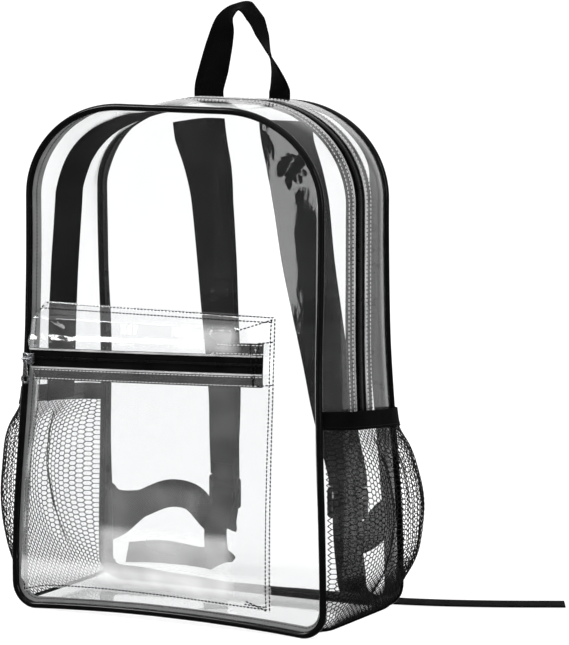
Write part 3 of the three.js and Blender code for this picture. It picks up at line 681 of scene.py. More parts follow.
def stripPoint(place, share, out, way):
    slot = walls["slotHalf"] / (seamY(place, 1) - bag["seamReach"])
    across = way * mix(1, slot, share)
    sway = wallSway(place, across) * smooth((1 - share) * 4)
    return sidePoint(place, across, out + sway)


for name, node, way in (("zipStripFront", "zip_strip_front", -1), ("zipStripBack", "zip_strip_back", 1)):
    def surface(row, column, out, way=way):
        return stripPoint(row, column, out, way)
    addShell(name, surface, highPlaces, spread(0, 1, 17), sheetFaces, clearStrip, [node])
print("clear sheets: made")

# Piping: a bead in each seam, with the seam's tape leaning into the bag.

piping = {
    "sides": 16,
    "tapeFrom": 2.4,
    "tapeThick": 0.8,
    # How far the tape reaches from the bead, in front, at the back and at the back's left.
    # Columns: place, reach.
    "frontWidths": [[0, 8], [1.2, 8.5], [2, 10.2], [5, 10.2]],
    "backWidths": [[0, 9], [1, 11], [2, 14], [3, 15.5], [3.3, 9], [5, 6.5]],
    "backLeftWidths": [[0, 9], [1, 11], [2, 13], [2.4, 9], [5, 6.5]],
    "frontWave": 0.7,  # how far the tape is crumpled
    "backWave": 1.5,
    "stitchAt": 6.4,  # how far in the seam's stitches lie
    "leanLow": 45,  # how the seam's tape leans into the bag, in degrees, at the bottom and sides
    "leanBackLeft": 12,  # the same up the left side of the back seam
    "leanTop": 82,  # the same along the top
}
loop = loopPlaces(24, 12, 60, 34, 10)


def seamPoint(place, out, inward, way):
    lift = bag["frontLift"] if way < 0 else 0
    x, z = edgePoint(place, bag["seamRadius"] - out, lift)
    return np.array([x, seamY(place, way) - way * inward, z])


def beadSections(way):
    radius = bag["seamRadius"] - 0.1
    sections = []
    for place in loop:
        wobble = 0.12 * ripple(place * 100, way * 40, 9, 14)
        size = radius + wobble
        turns = [2 * math.pi * s / piping["sides"] for s in range(piping["sides"])]
        sections.append([seamPoint(place, size * math.cos(t), size * math.sin(t), way) for t in turns])
    return np.array(sections)


def flapPoint(place, far, off, way):
    # a point on the seam's tape: far from the bead, and off its middle plane
    leftward = smooth(-place / 1.2) if way > 0 else 0
    leanLow = mix(piping["leanLow"], piping["leanBackLeft"], leftward)
    lean = math.radians(mix(leanLow, piping["leanTop"], smooth((abs(place) - 3.15) / 0.7)))
    outward = -far * math.cos(lean) + off * math.sin(lean)
    return seamPoint(place, outward, far * math.sin(lean) + off * math.cos(lean), way)


def tapeSections(way):
    sections = []
    for place in loop:
        widths = piping["frontWidths"]
        if way > 0:
            widths = piping["backWidths" if place >= 0 else "backLeftWidths"]
        end = tableAt(widths, abs(place))
        wave = piping["backWave" if way > 0 else "frontWave"] * ripple(place * 100, way * 30, 12, 22)
        section = []
        for side in (1, -1):
            reach = [piping["tapeFrom"], 5, mix(5, end, 0.5), end][::side]
            for far in reach:
                off = side * piping["tapeThick"] / 2 + wave * smooth((far - 4) / 5)
                section.append(flapPoint(place, far, off, way))
        sections.append(section)
    return np.array(sections)


seamStitchBodies = []
for name, node, way in (("frontPiping", "front_piping", -1), ("backPiping", "back_piping", 1)):
    points, faces = sweptBody(beadSections(way), True)
    addPiece(name, points, faces, vinylBead, [node])
    points, faces = sweptBody(tapeSections(way), True)
    look = backTape if way > 0 else sheenGreySeamTape
    addPiece(name.replace("Piping", "SeamTape"), points, faces, look, [node])
    rise = piping["tapeThick"] / 2 + 0.25
    for side in (1, -1):
        line = [flapPoint(p, piping["stitchAt"], side * rise, way) for p in loop]
        ups = [flapPoint(p, 5, side, way) - flapPoint(p, 5, 0, way) for p in loop]
        seamStitchBodies.append(stitches(line, ups))
points, faces = joined(seamStitchBodies)
addPiece("seamStitches", points, faces, stitchThread)
print("piping: made")

# Main zip: tape under the strips, hems along the slot, two rows of teeth, and stitches.

mainZip = {
    "tapeHalf": 22,
    "tapeTop": -0.55,
    "tapeThick": 0.7,
    "toothPitch": 1.5,
    "toothLength": 7,
    "toothOut": 0.35,
    "hemOut": 0.9,
    "innerStitch": 3.4,  # from the slot's edge to the inner row of stitches
    "outerStitch": 19.5,  # from the teeth to the outer row
}
tapeColumns = spread(-mainZip["tapeHalf"], mainZip["tapeHalf"], 13)


def tapeSway(place, y):
    return 0.35 * ripple(place * 95, y, 21, 9) * smooth((abs(y) - 8) / 8)


def mainTapePoint(place, y, out):
    return sidePointAtY(place, y, out + tapeSway(place, y))


# Painted sheen: the black tape's outer face turns patchy grey away from the slot, where the clear strip lying over
# it reflects light.
tapeSheenLook = {"middle": mainZip["tapeHalf"], "from": walls["slotHalf"] + 0.5, "level": 0.11}
mainTape = wovenCloth("black main zip tape", 0.9, 0.7, 0.001, 0.006, 0.75, 0.10, tapeSheenLook)
addShell(
    "mainZipTape", mainTapePoint, highPlaces, tapeColumns,
    (mainZip["tapeTop"], mainZip["tapeTop"] - mainZip["tapeThick"]),
    mainTape, ["main_zip_tape"],
)


def outwardAt(line):
    # the way out of the bag along a line over its sides and top
    line = np.asarray(line, float)
    tangents = np.gradient(line, axis=0)
    return units(np.cross(tangents, np.array([[0.0, 1.0, 0.0]])) * np.array([[1.0, 0.0, 1.0]]))


def outerSide(line, ups):
    # flips the ways so that they point away from the middle of the bag
    middle = np.array([0, 0, bag["height"] * 0.55])
    return -ups if np.mean(np.sum((np.asarray(line) - middle) * ups, axis=1)) < 0 else ups


def teethAlong(line, ups, pitch, toothLength, radius):
    # two rows of short slanted teeth that meet in the middle
    profile = [[-0.5, 0.7], [-0.32, 1], [0.3, 1], [0.5, 1.15], [0.56, 0.6]]
    shape = barShape(toothLength / 1.9, [[place, radius * size] for place, size in profile], 6)
    bodies = []
    for side, shift in ((1, 0), (-1, 0.5)):
        places, alongs, lifts = resample(line, pitch, ups)
        places = places + alongs * shift * pitch
        across = units(np.cross(lifts, alongs)) * side
        bodies.append(scattered(shape, places - across * toothLength * 0.24, across, lifts))
    return joined(bodies)


middleLine = [sidePointAtY(place, 0, mainZip["toothOut"]) for place in highPlaces]
middleUps = outerSide(middleLine, outwardAt(middleLine))
points, faces = teethAlong(middleLine, middleUps, mainZip["toothPitch"], mainZip["toothLength"], 0.6)
addPiece("mainZipTeeth", points, faces, nylonTeeth, ["main_zip_coil"])

hemBodies, zipStitchBodies = [], []
for way in (-1, 1):
    low, high = walls["slotHalf"] - 0.2, walls["slotHalf"] + walls["hemWidth"]
    grids = []
    for out in (bag["sheetHalf"] + mainZip["hemOut"], bag["sheetHalf"] + 0.1):
        grids.append(np.array([
            [sidePointAtY(place, way * mix(low, high, c / 4), out - (0.5 if c in (0, 4) else 0) * (out > 1))
             for c in range(5)] for place in highPlaces
        ]))
    hemPoints, hemFaces, hemUv = shellBody(*grids)
    hemBodies.append((hemPoints, hemFaces))
    for at in (walls["slotHalf"] + mainZip["innerStitch"], mainZip["outerStitch"]):
        line = [sidePointAtY(place, way * at, bag["sheetHalf"] + 0.2) for place in highPlaces]
        zipStitchBodies.append(stitches(line, outerSide(line, outwardAt(line)), 3.4, 2.2, 0.42))
points, faces = joined(hemBodies)
addPiece("mainZipHems", points, faces, clearHem)
points, faces = joined(zipStitchBodies)
addPiece("mainZipStitches", points, faces, glintPaintedThread)


def roundedBlock(name, centre, size, bevel, material, nodes=(), body="bag"):
    # a block with rounded edges
    corner = np.array(size) / 2
    signs = [(x, y, z) for x in (-1, 1) for y in (-1, 1) for z in (-1, 1)]
    points = [np.array(centre) + corner * np.array(s) for s in signs]
    faces = [[0, 1, 3, 2], [4, 6, 7, 5], [0, 4, 5, 1], [2, 3, 7, 6], [0, 2, 6, 4], [1, 5, 7, 3]]
    piece = addPiece(name, points, turnedOut(np.array(points), faces), material, nodes, body=body)
    soft = piece.modifiers.new("rounding", "BEVEL")
    soft.width = bevel * mm
    soft.segments = 3
    return piece


low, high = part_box("main_zip_slider")
centre = (low + high) / 2 / mm
roundedBlock("mainZipSlider", centre, (high - low) / mm, 1.2, nylonTeeth, ["main_zip_slider"])
print("main zip: made")

# Front pocket. Rows run up, columns run from its left seam to its right one.

pocket = {
    "topZ": 262,
    "lowZ": 22,
    "rightX": 99.5,
    "zipDrop": 46,
    "zipRise": 6,
    "puff": 18,
    "puffRight": 0.28,
    "sideRun": 7,
    "rightRun": 12,
    "lowRun": 16,
    "topRun": 13,
    "slotHalf": 7,
    "tapeHalf": 18,
    "tapeShort": 8.6,  # how far the tape reaches above the zip, but for its right end
    "gap": 1.1,
    "roll": 3.4,  # how far the sheet stands out just above the zip
    "rollAt": 14,
    "rollHalf": 5,
    "rollEnd": 0.8,  # where it fades out, as a share of the pocket's width
    # Columns: height as a share of the top, place as a share of the half width.
    "left": [
        [0.05, 0.927], [0.23, 0.909], [0.51, 0.897], [0.74, 0.875], [0.82, 0.915], [0.95, 0.912], [1, 0.855],
    ],
    # Columns: place as a share of the width, height as a share of lowZ.
    "low": [[0, 0.64], [0.12, 0.91], [0.5, 1], [1, 0.86]],
    # Columns: height as a share of the top, share of the puff.
    "full": [[0.19, 0.88], [0.34, 0.97], [0.42, 1], [0.5, 0.97], [0.65, 0.88], [0.75, 0.9], [0.8, 1]],
    # Folds. Columns: x, z, slope, length, half width, depth.
    "folds": [
        [-104, 246, -0.55, 17, 3.2, 1.8],
        [-96, 240, -0.5, 20, 3.0, -1.4],
        [-112, 236, -0.9, 12, 2.6, 1.2],
        [64, 240, 1.1, 13, 3.6, 3.0],
        [50, 236, 0.6, 16, 4.0, -1.6],
        [-126, 150, 9, 60, 2.4, 1.6],
        [-120, 110, 6, 55, 2.6, -1.4],
        [-118, 190, 4, 26, 2.2, 1.2],
        [30, 28, 0.1, 40, 4, 0.9],
        [70, 32, -0.4, 16, 3, 1.2],
    ],
}


def pocketX(share, z):
    return mix(-tableAt(pocket["left"], z / pocket["topZ"]) * halfWidthAt(z), pocket["rightX"], share)


def pocketLowZ(share):
    return pocket["lowZ"] * tableAt(pocket["low"], share)


def pocketZipZ(share):
    return pocket["topZ"] - pocket["zipDrop"] + pocket["zipRise"] * share


def pocketPoint(share, z, out, folded=True):
    left, x = pocketX(0, z), pocketX(share, z)
    rise = smooth((x - left) / pocket["sideRun"]) * smooth((pocket["rightX"] - x) / pocket["rightRun"])
    rise *= smooth((z - pocketLowZ(share)) / pocket["lowRun"])
    rise *= smooth((pocket["topZ"] - z) / pocket["topRun"])
    puff = pocket["puff"] * rise * mix(1, pocket["puffRight"], share)
    puff *= tableAt(pocket["full"], z / pocket["topZ"])
    over = (z - pocketZipZ(share) - pocket["rollAt"]) / pocket["rollHalf"]
    puff += pocket["roll"] * math.exp(-over * over) * rise * smooth((pocket["rollEnd"] - share) * 12)
    if folded:
        puff += rise * (creased(pocket["folds"], x, z) + 0.9 * ripple(x, z * 0.5, 31, 34))
    return np.array([x, panelY(x, z, -1) - pocket["gap"] - puff - out, z])


pocketColumns = spread(0, 0.06, 16)[:-1] + spread(0.06, 0.93, 96)[:-1] + spread(0.93, 1, 12)


def upperPoint(share, column, out):
    low = pocketZipZ(column) + pocket["slotHalf"]
    return pocketPoint(column, mix(low, pocket["topZ"], share), out)


def lowerPoint(share, column, out):
    low, high = pocketLowZ(column), pocketZipZ(column) - pocket["slotHalf"]
    return pocketPoint(column, mix(low, high, share), out)


upperRows = spread(0, 0.6, 20)[:-1] + spread(0.6, 1, 14)
lowerRows = spread(0, 0.12, 12)[:-1] + spread(0.12, 1, 64)
addShell(
    "pocketUpperFace", upperPoint, upperRows, pocketColumns, sheetFaces, clearPocket,
    ["pocket_upper_face"],
)
addShell(
    "pocketLowerFace", lowerPoint, lowerRows, pocketColumns, sheetFaces, clearPocket,
    ["pocket_lower_face"],
)

innerColumns = spread(0.026, 0.962, 90)
pocketTape = {"top": -0.55, "thick": 0.7}


def pocketZipPoint(step, column, out):
    return pocketPoint(column, pocketZipZ(column) + step, out, abs(step) > pocket["slotHalf"] + 1)


def pocketTapePoint(share, column, out):
    high = mix(pocket["tapeShort"], pocket["tapeHalf"], smooth((column - 0.74) / 0.06))
    return pocketZipPoint(mix(-pocket["tapeHalf"], high, share), column, out)


addShell(
    "pocketZipTape", pocketTapePoint, spread(0, 1, 16), innerColumns,
    (pocketTape["top"], pocketTape["top"] - pocketTape["thick"]),
    zipTape, ["pocket_zip_tape"],
)
toothLine = [pocketZipPoint(0, c, 0.3) for c in innerColumns]
forward = np.tile(np.array([0.0, -1.0, 0.0]), (len(innerColumns), 1))
points, faces = teethAlong(toothLine, forward, 1.3, 3.0, 0.5)
addPiece("pocketZipTeeth", points, faces, nylonTeeth, ["pocket_zip_coil"])

# Hems along the pocket's zip. Columns: from the teeth, and how far out the top and the bottom are.
pocketHem = [[6.8, 0.65, 0.4], [7.1, 1.1, 0.4], [7.6, 1.1, 0.4], [8.1, 1.1, 0.4], [8.4, 0.65, 0.4]]
hemBodies = []
for way in (-1, 1):
    grids = [
        np.array([[pocketZipPoint(way * row[0], c, row[k]) for c in innerColumns] for row in pocketHem])
        for k in (1, 2)
    ]
    hemPoints, hemFaces, hemUv = shellBody(*grids)
    hemBodies.append((hemPoints, hemFaces))
points, faces = joined(hemBodies)
addPiece("pocketZipHems", points, faces, clearHem)

# The pocket's stitches. Each row names the line and how it is sewn.


def pocketLine(points, out=0.5):
    return [pocketPoint(share, z, out) for share, z in points]


fine = spread(0.0, 1.0, 60)
pocketSeams = [
    pocketLine([(mix(0.01, 0.995, t), pocket["topZ"] - 1.2) for t in fine]),
    pocketLine([(mix(0.03, 0.985, t), pocket["topZ"] - 5) for t in fine]),
    pocketLine([(0.997, mix(pocketLowZ(1) + 1, pocket["topZ"] - 2, t)) for t in fine]),
    pocketLine([(0.984, mix(pocketLowZ(1) + 3, pocket["topZ"] - 4, t)) for t in fine]),
    pocketLine([(mix(0.01, 0.985, t), pocketLowZ(mix(0.01, 0.985, t)) + 2) for t in fine]),
    pocketLine([(0.006, mix(pocketLowZ(0) + 1, pocket["topZ"] - 2, t)) for t in fine]),
]
zipSeams = []
for step, start in ((9.4, 72), (-9.4, 0), (16.6, 72), (-16.6, 0)):
    zipSeams.append([pocketZipPoint(step, c, 0.45) for c in innerColumns[start:]])
# Columns: share and height of both ends of a short row.
shortSeams = [
    [0.86, 249, 0.985, 259],
    [0.945, 240, 1.0, 241],
    [0.945, 205, 1.0, 206],
    [0.93, 205, 0.95, 240],
    [0.915, 240, 0.93, 205],
    [0.90, 24, 0.98, 23],
    [0.91, 27, 0.985, 20],
]
for fromShare, fromZ, toShare, toZ in shortSeams:
    ends = [(mix(fromShare, toShare, t), mix(fromZ, toZ, t)) for t in spread(0, 1, 12)]
    pocketSeams.append(pocketLine(ends, 0.7))
for name, lines, thread, radius in (
    ("pocketStitches", pocketSeams, stitchThread, 0.58), ("pocketZipStitches", zipSeams, glintPaintedThread, 0.3),
):
    bodies = []
    for line in lines:
        forward = np.tile(np.array([0.0, -1.0, 0.0]), (len(line), 1))
        bodies.append(stitches(line, forward, 3.3, 2.3, radius))
    points, faces = joined(bodies)
    addPiece(name, points, faces, thread)
print("front pocket: made")

# The pocket's slider and its pull, cut as plates with rounded edges.


def plateBody(outline, holes, thick, bevel):
    # a flat plate with round edges, in its own plane, from closed outlines
    curve = bpy.data.curves.new("plate", "CURVE")
    curve.dimensions = "2D"
    curve.fill_mode = "BOTH"
    curve.extrude = thick / 2 - bevel
    curve.bevel_depth = bevel
    curve.bevel_resolution = 2
    curve.offset = -bevel
    for ring in [outline] + holes:
        spline = curve.splines.new("POLY")
        spline.points.add(len(ring) - 1)
        spline.use_cyclic_u = True
        for point, (x, y) in zip(spline.points, ring):
            point.co = (x, y, 0, 1)
    maker = bpy.data.objects.new("plate", curve)
    bpy.context.scene.collection.objects.link(maker)
    bpy.context.view_layer.update()
    mesh = bpy.data.meshes.new_from_object(maker.evaluated_get(bpy.context.evaluated_depsgraph_get()))
    points = np.array([v.co[:] for v in mesh.vertices], float)
    faces = [list(p.vertices) for p in mesh.polygons]
    bpy.data.objects.remove(maker)
    bpy.data.curves.remove(curve)
    bpy.data.meshes.remove(mesh)
    return points, faces


def arcPoints(x, y, radius, fromTurn, toTurn, count):
    turns = [mix(fromTurn, toTurn, i / count) for i in range(count + 1)]
    return [(x + radius * math.cos(turn), y + radius * math.sin(turn)) for turn in turns]


def roundedRing(halfWidth, halfHeight, radius, x=0, y=0):
    ring = []
    for k, (sx, sy) in enumerate(((1, 1), (-1, 1), (-1, -1), (1, -1))):
        ring += arcPoints(
            x + sx * (halfWidth - radius), y + sy * (halfHeight - radius), radius,
            k * math.pi / 2, (k + 1) * math.pi / 2, 5,
        )
    return ring


def placed(body, right, up, origin):
    # puts a body drawn in x and y into the plane of two given ways
    right, up = unit(np.array(right, float)), unit(np.array(up, float))
    out = np.cross(right, up)
    points = body[0]
    return origin + points[:, :1] * right + points[:, 1:2] * up + points[:, 2:3] * out, body[1]


def tubeBody(rows, radius, steps, sides, isRing=False):
    sections = []
    for i in range(steps + (0 if isRing else 1)):
        share = i / steps
        middle = alongLine(rows, share)
        tangent = unit(alongLine(rows, min(1, share + 1e-3)) - alongLine(rows, max(0, share - 1e-3)))
        side = unit(np.cross(tangent, np.array([0.13, 0.21, 0.97])))
        lift = np.cross(tangent, side)
        turns = [2 * math.pi * s / sides for s in range(sides)]
        sections.append([middle + radius * (math.cos(t) * side + math.sin(t) * lift) for t in turns])
    return sweptBody(sections, isRing)


low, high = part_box("pocket_zip_slider")
pullLow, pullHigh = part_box("pocket_zip_pull")
joint = next(j for j in frame["joints"] if j["name"] == "pocket_pull_swing")
pivot = np.array(joint["pos_m"]) / mm
sliderX, sliderZ = pivot[0], pivot[2]
sliderBack = high.y / mm
slider = {
    "thick": 1.1,
    "half": 4.9,
    "nose": 3.2,
    "bar": 0.75,
    "depth": 3.6,  # from its back to its face
    "backIn": 0.7,
    "faceIn": 0.6,
}
shield = [(-slider["half"], 4.6), (-slider["half"], -3.4), (-slider["nose"], -4.9), (slider["nose"], -4.9),
          (slider["half"], -3.4), (slider["half"], 4.6), (0, 3.9)]
faceY = sliderBack - slider["depth"]
bodies = []
for y in (sliderBack - slider["backIn"], faceY + slider["faceIn"]):
    plate = plateBody(shield, [], slider["thick"], 0.35)
    bodies.append(placed(plate, (1, 0, 0), (0, 0, 1), np.array([sliderX, y, sliderZ])))
wedge = plateBody(roundedRing(2.2, 4.2, 0.8), [], 2.6, 0.3)
bodies.append(placed(wedge, (0, -1, 0), (0, 0, 1), np.array([sliderX, sliderBack - slider["depth"] / 2, sliderZ])))
barY = pivot[1]
reach = slider["half"] - 1.3
bridge = [
    [sliderX - reach, faceY, sliderZ], [sliderX - reach, mix(faceY, barY, 0.6), sliderZ],
    [sliderX - reach + 0.7, barY, sliderZ], [sliderX, barY, sliderZ], [sliderX + reach - 0.7, barY, sliderZ],
    [sliderX + reach, mix(faceY, barY, 0.6), sliderZ], [sliderX + reach, faceY, sliderZ],
]
bodies.append(tubeBody(bridge, slider["bar"], 40, 12))
points, faces = joined(bodies)
addPiece("pocketZipSlider", points, faces, silverMetal, ["pocket_zip_slider"], sharp=40)

pull = {"length": 21, "ring": 4.2, "hole": 2.3, "thick": 1.2, "eye": 1.9, "wire": 0.55}
ringZ = -(pull["length"] - pull["ring"])
outline = [(-1.6, -1.9), (-1.6, -6), (-2.6, ringZ + 3)]
outline += arcPoints(0, ringZ, pull["ring"], math.pi * 0.78, math.pi * 2.22, 28)[1:-1]
outline += [(2.6, ringZ + 3), (1.6, -6), (1.6, -1.9)]
hole = arcPoints(0, ringZ, pull["hole"], 0, 2 * math.pi, 28)[:-1]
bodies = [placed(plateBody(outline, [hole], pull["thick"], 0.35), (1, 0, 0), (0, 0, 1), pivot)]
eyeRows = [[pivot[0], pivot[1] + pull["eye"] * math.sin(t), pivot[2] + pull["eye"] * math.cos(t)]
           for t in spread(0, 2 * math.pi, 17)]
bodies.append(tubeBody(eyeRows, pull["wire"], 32, 10))
points, faces = joined(bodies)
addPiece(
    "pocketZipPull", points, faces, silverMetal, ["pocket_zip_pull"], body="pocket_pull",
    sharp=40,
)
print("slider and pull: made")

# Net side pockets: strands in six-sided cells, a tape round the foot and an elastic band on top.

net = {
    "frontZ": 172,
    "backZ": 160,
    "band": 15,
    "bandThick": 1.7,
    "bulge": 33,
    "gap": 0.7,
    "pitch": 4.6,
    "strand": 0.43,
    "gathers": 2.2,  # how deep the net folds under the band
    "fuller": 4,  # how much further the right pocket stands out
    # Upright folds. Columns: side, place across at the foot and at the top, half width, depth.
    "folds": [[-1, 0.62, 0.3, 0.07, 7], [1, -0.1, -0.2, 0.08, 6], [1, 0.5, 0.62, 0.06, 4]],
    # Columns: height as a share of the top, share of the bulge.
    "rise": [
        [0.1, 0], [0.2, 0.38], [0.3, 0.68], [0.45, 0.9], [0.62, 1], [0.8, 0.92], [0.9, 0.75], [1, 0.42],
        [1.1, 0.34],
    ],
    # The foot on the bag's low corner. Columns: place, how far it stands out.
    "foot": [[1.45, 0.2], [1.62, 0.8], [1.8, 1.6]],
}


def netTopZ(across):
    return mix(net["frontZ"], net["backZ"], (across + 1) / 2)


def netPoint(way, across, share, out):
    # share is 0 at the foot and 1 at the band's lower edge
    z = share * netTopZ(across)
    base = sidePoint(way * (2 if z < bag["cornerLow"] else placeAtHeight(z)), across, net["gap"])
    boxy = 1 - abs(across) ** 5
    stand = net["bulge"] * tableAt(net["rise"], share) * boxy
    gather = math.sin(across * 21 + way) * ripple(across * 40, way * 9, 41, 12)
    stand += net["gathers"] * gather * smooth((share - 0.35) / 0.5) * boxy * smooth((1.05 - share) / 0.2)
    fade = boxy * smooth(share * 4 - 0.5) * smooth((1 - share) * 6)
    stand += 2.4 * ripple(across * 60, share * 150, 43 + way, 30) * fade
    stand += net["fuller"] * fade * math.sin(math.pi * share) if way > 0 else 0
    for side, low, high, halfWidth, depth in net["folds"]:
        if side == way:
            stand -= depth * math.exp(-(((across - mix(low, high, share)) / halfWidth) ** 2)) * fade
    return np.array([base[0] + way * (stand + out), base[1], z])


def netSurface(way):
    # rows from the foot to the band, columns from the front seam to the back one
    acrosses = spread(-1, 1, 61)
    rows = []
    for place, stand in net["foot"]:
        row = [sidePoint(way * place, a, net["gap"]) for a in acrosses]
        rows.append([p + np.array([way * stand, 0, 0]) for p in row])
    for share in spread(0.13, 1.01, 60):
        rows.append([netPoint(way, a, share, 0) for a in acrosses])
    return np.array(rows)


def gridAt(grid, u, v):
    # reads a grid of points between its rows and columns
    rows, columns = grid.shape[:2]
    r, c = np.clip(v * (rows - 1), 0, rows - 1.001), np.clip(u * (columns - 1), 0, columns - 1.001)
    r0, c0 = r.astype(int), c.astype(int)
    fr, fc = (r - r0)[:, None], (c - c0)[:, None]
    low = grid[r0, c0] * (1 - fc) + grid[r0, c0 + 1] * fc
    high = grid[r0 + 1, c0] * (1 - fc) + grid[r0 + 1, c0 + 1] * fc
    return low * (1 - fr) + high * fr


def evenRows(grid):
    # spaces a grid's rows evenly in the middle of its columns
    middle = grid[:, grid.shape[1] // 2]
    lengths = np.concatenate([[0], np.cumsum(np.linalg.norm(np.diff(middle, axis=0), axis=1))])
    marks = np.linspace(0, lengths[-1], len(grid))
    places = np.interp(marks, lengths, np.arange(len(grid)) / (len(grid) - 1))
    columns = grid.shape[1]
    u = np.tile(np.arange(columns) / (columns - 1), len(grid))
    return gridAt(grid, u, np.repeat(places, columns)).reshape(grid.shape), lengths[-1]


def netStrands(grid, height):
    widths = np.linalg.norm(np.diff(grid, axis=1), axis=2).sum(axis=1)
    width = widths.mean()
    pitch = net["pitch"]
    side = pitch / math.sqrt(3)
    columns, rows = int(width / (1.5 * side)) + 2, int(height / pitch) + 2
    starts, ends = [], []
    for i in range(columns):
        for j in range(rows):
            cx, cy = 1.5 * side * i, pitch * (j + (i % 2) / 2)
            high, low = (cx + side / 2, cy + pitch / 2), (cx + side / 2, cy - pitch / 2)
            starts += [(cx - side / 2, cy + pitch / 2), high, (cx + side, cy)]
            ends += [high, (cx + side, cy), low]
    starts, ends = np.array(starts), np.array(ends)
    inside = np.ones(len(starts), bool)
    for group in (starts, ends):
        inside &= (group[:, 0] >= 0) & (group[:, 0] <= width) & (group[:, 1] >= 0) & (group[:, 1] <= height)
    starts, ends = starts[inside], ends[inside]
    first = gridAt(grid, starts[:, 0] / width, starts[:, 1] / height)
    second = gridAt(grid, ends[:, 0] / width, ends[:, 1] / height)
    spans = second - first
    lengths = np.linalg.norm(spans, axis=1)
    keep = lengths > 0.4
    first, second, spans, lengths = first[keep], second[keep], spans[keep], lengths[keep]
    shape = barShape(1.0, [[-0.54, net["strand"]], [0.54, net["strand"]]], 4)
    ups = np.tile(np.array([0.31, 0.83, 0.46]), (len(first), 1))
    return scattered(shape, (first + second) / 2, spans / lengths[:, None], ups, lengths)


def bandPoint(way, across, rise, out):
    z = netTopZ(across) + rise
    base = sidePoint(way * placeAtHeight(z), across, net["gap"])
    boxy = 1 - abs(across) ** 5
    stand = net["bulge"] * tableAt(net["rise"], z / netTopZ(across)) * boxy
    stand += 0.5 * ripple(across * 60, way * 3, 47, 9)
    return np.array([base[0] + way * (stand + out), base[1], z])


for side, way in (("Left", -1), ("Right", 1)):
    node = side.lower()
    grid, height = evenRows(netSurface(way))
    points, faces = netStrands(grid, height)
    addPiece("netPocket" + side, points, faces, netThread, ["mesh_pocket_" + node])

    def surface(rise, across, out, way=way):
        wave = 0.5 * ripple(across * 70, 3 * way, 51, 16)
        return bandPoint(way, across, rise + wave, out)
    addShell(
        "elasticBand" + side, surface, spread(0.2, net["band"], 9), spread(-1, 1, 61),
        (net["bandThick"], 0), elasticCloth, ["mesh_band_" + node],
    )
    foot = [list(grid[0, c] + np.array([way * 0.4, 0, 0.3])) for c in range(0, 61, 3)]
    edges = [list(p) for p in grid[::4, 0]], [list(p) for p in grid[::4, -1]]
    bodies = [tubeBody(foot, 1.5, 60, 8)] + [tubeBody(edge, 0.8, 60, 6) for edge in edges]
    points, faces = joined(bodies)
    addPiece("netEdge" + side, points, faces, elasticCloth, uv=np.zeros((len(points), 2)))
    stitchLine = [bandPoint(way, a, 2.5, net["bandThick"] + 0.1) for a in spread(-0.97, 0.97, 60)]
    ups = np.tile(np.array([float(way), 0.0, 0.0]), (60, 1))
    points, faces = stitches(stitchLine, ups, 2.8, 2.2, 0.25)
    addPiece("bandStitches" + side, points, faces, stitchThread)
print("side pockets: made")

# Grab handle. Columns: place as a share of the half span, height as a share of the rise,
# then the way the width points.

handle = {
    "rise": 80,
    "halfSpan": 38,
    "width": 28,
    "thick": 1.9,
    "rows": [
        [-0.79, -0.02, 1, 0, 0],
        [-0.79, 0.08, 1, 0, 0],
        [-0.66, 0.3, 1, 0, 0],
        [-0.53, 0.53, 0.98, -0.15, 0],
        [-0.37, 0.77, 0.92, -0.38, 0],
        [-0.16, 0.9, 0.72, -0.68, 0],
        [0.105, 0.955, 0.25, -0.93, -0.25],
        [0.395, 0.83, 0.05, -0.98, -0.15],
        [0.565, 0.66, 0.16, -0.98, -0.1],
        [0.7, 0.5, 0.38, -0.92, 0],
        [0.79, 0.41, 0.52, -0.85, 0],
        [0.91, 0.26, 0.72, -0.69, 0],
        [1, 0.08, 0.91, -0.41, 0],
        [1, -0.02, 0.91, -0.41, 0],
    ],
}
handleY = depthAt(bag["height"]) / 2
handleRows = []
for place, up, wx, wy, wz in handle["rows"]:
    z = bag["height"] + 0.3 + up * handle["rise"]
    handleRows.append([place * handle["halfSpan"], handleY, z, wx, wy, wz, handle["width"]])
addRibbon("grabHandle", handleRows, handle["thick"], 130, webCloth, ["grab_handle"], 10)

# Shoulder straps. Columns: way down as a share, distance off the back as a share of the reach,
# distance from the middle as a share of the spread on the left and the right, width share.

strap = {
    "widthTop": 50,
    "widthLow": 34,
    "thick": 3.2,
    "topDrop": 19,
    "endZ": 90,
    "backReach": 58,
    "spread": 42,
    "turn": 0.26,
    "rows": [
        [0, 0, 1, 1, 0],
        [0.05, 0.06, 1, 1, 0],
        [0.13, 0.26, 1.01, 1.01, 0],
        [0.22, 0.42, 1.035, 1.035, 0.05],
        [0.38, 0.58, 1.07, 1.07, 0.22],
        [0.52, 0.72, 1.14, 1.14, 0.4],
        [0.66, 0.86, 1.21, 1.21, 0.6],
        [0.785, 0.94, 1.26, 1.285, 0.8],
        [0.905, 0.96, 1.31, 1.475, 0.95],
        [0.975, 0.96, 1.31, 1.595, 1],
        [1, 0.96, 1.31, 1.595, 1],
    ],
}


def strapRows(way):
    rows = []
    for i, (down, reach, leftShare, rightShare, taper) in enumerate(strap["rows"]):
        z = mix(bag["height"] - strap["topDrop"], strap["endZ"], down)
        x = way * strap["spread"] * (leftShare if way < 0 else rightShare)
        y = panelY(x, z, 1) + 0.5 + 0.4 + 1.7 + reach * strap["backReach"]
        turn = 0 if i < 2 else strap["turn"] * smooth((i - 1) / 2)
        width = mix(strap["widthTop"], strap["widthLow"], taper)
        rows.append([x, y, z, math.cos(turn), way * math.sin(turn), 0, width])
    return rows


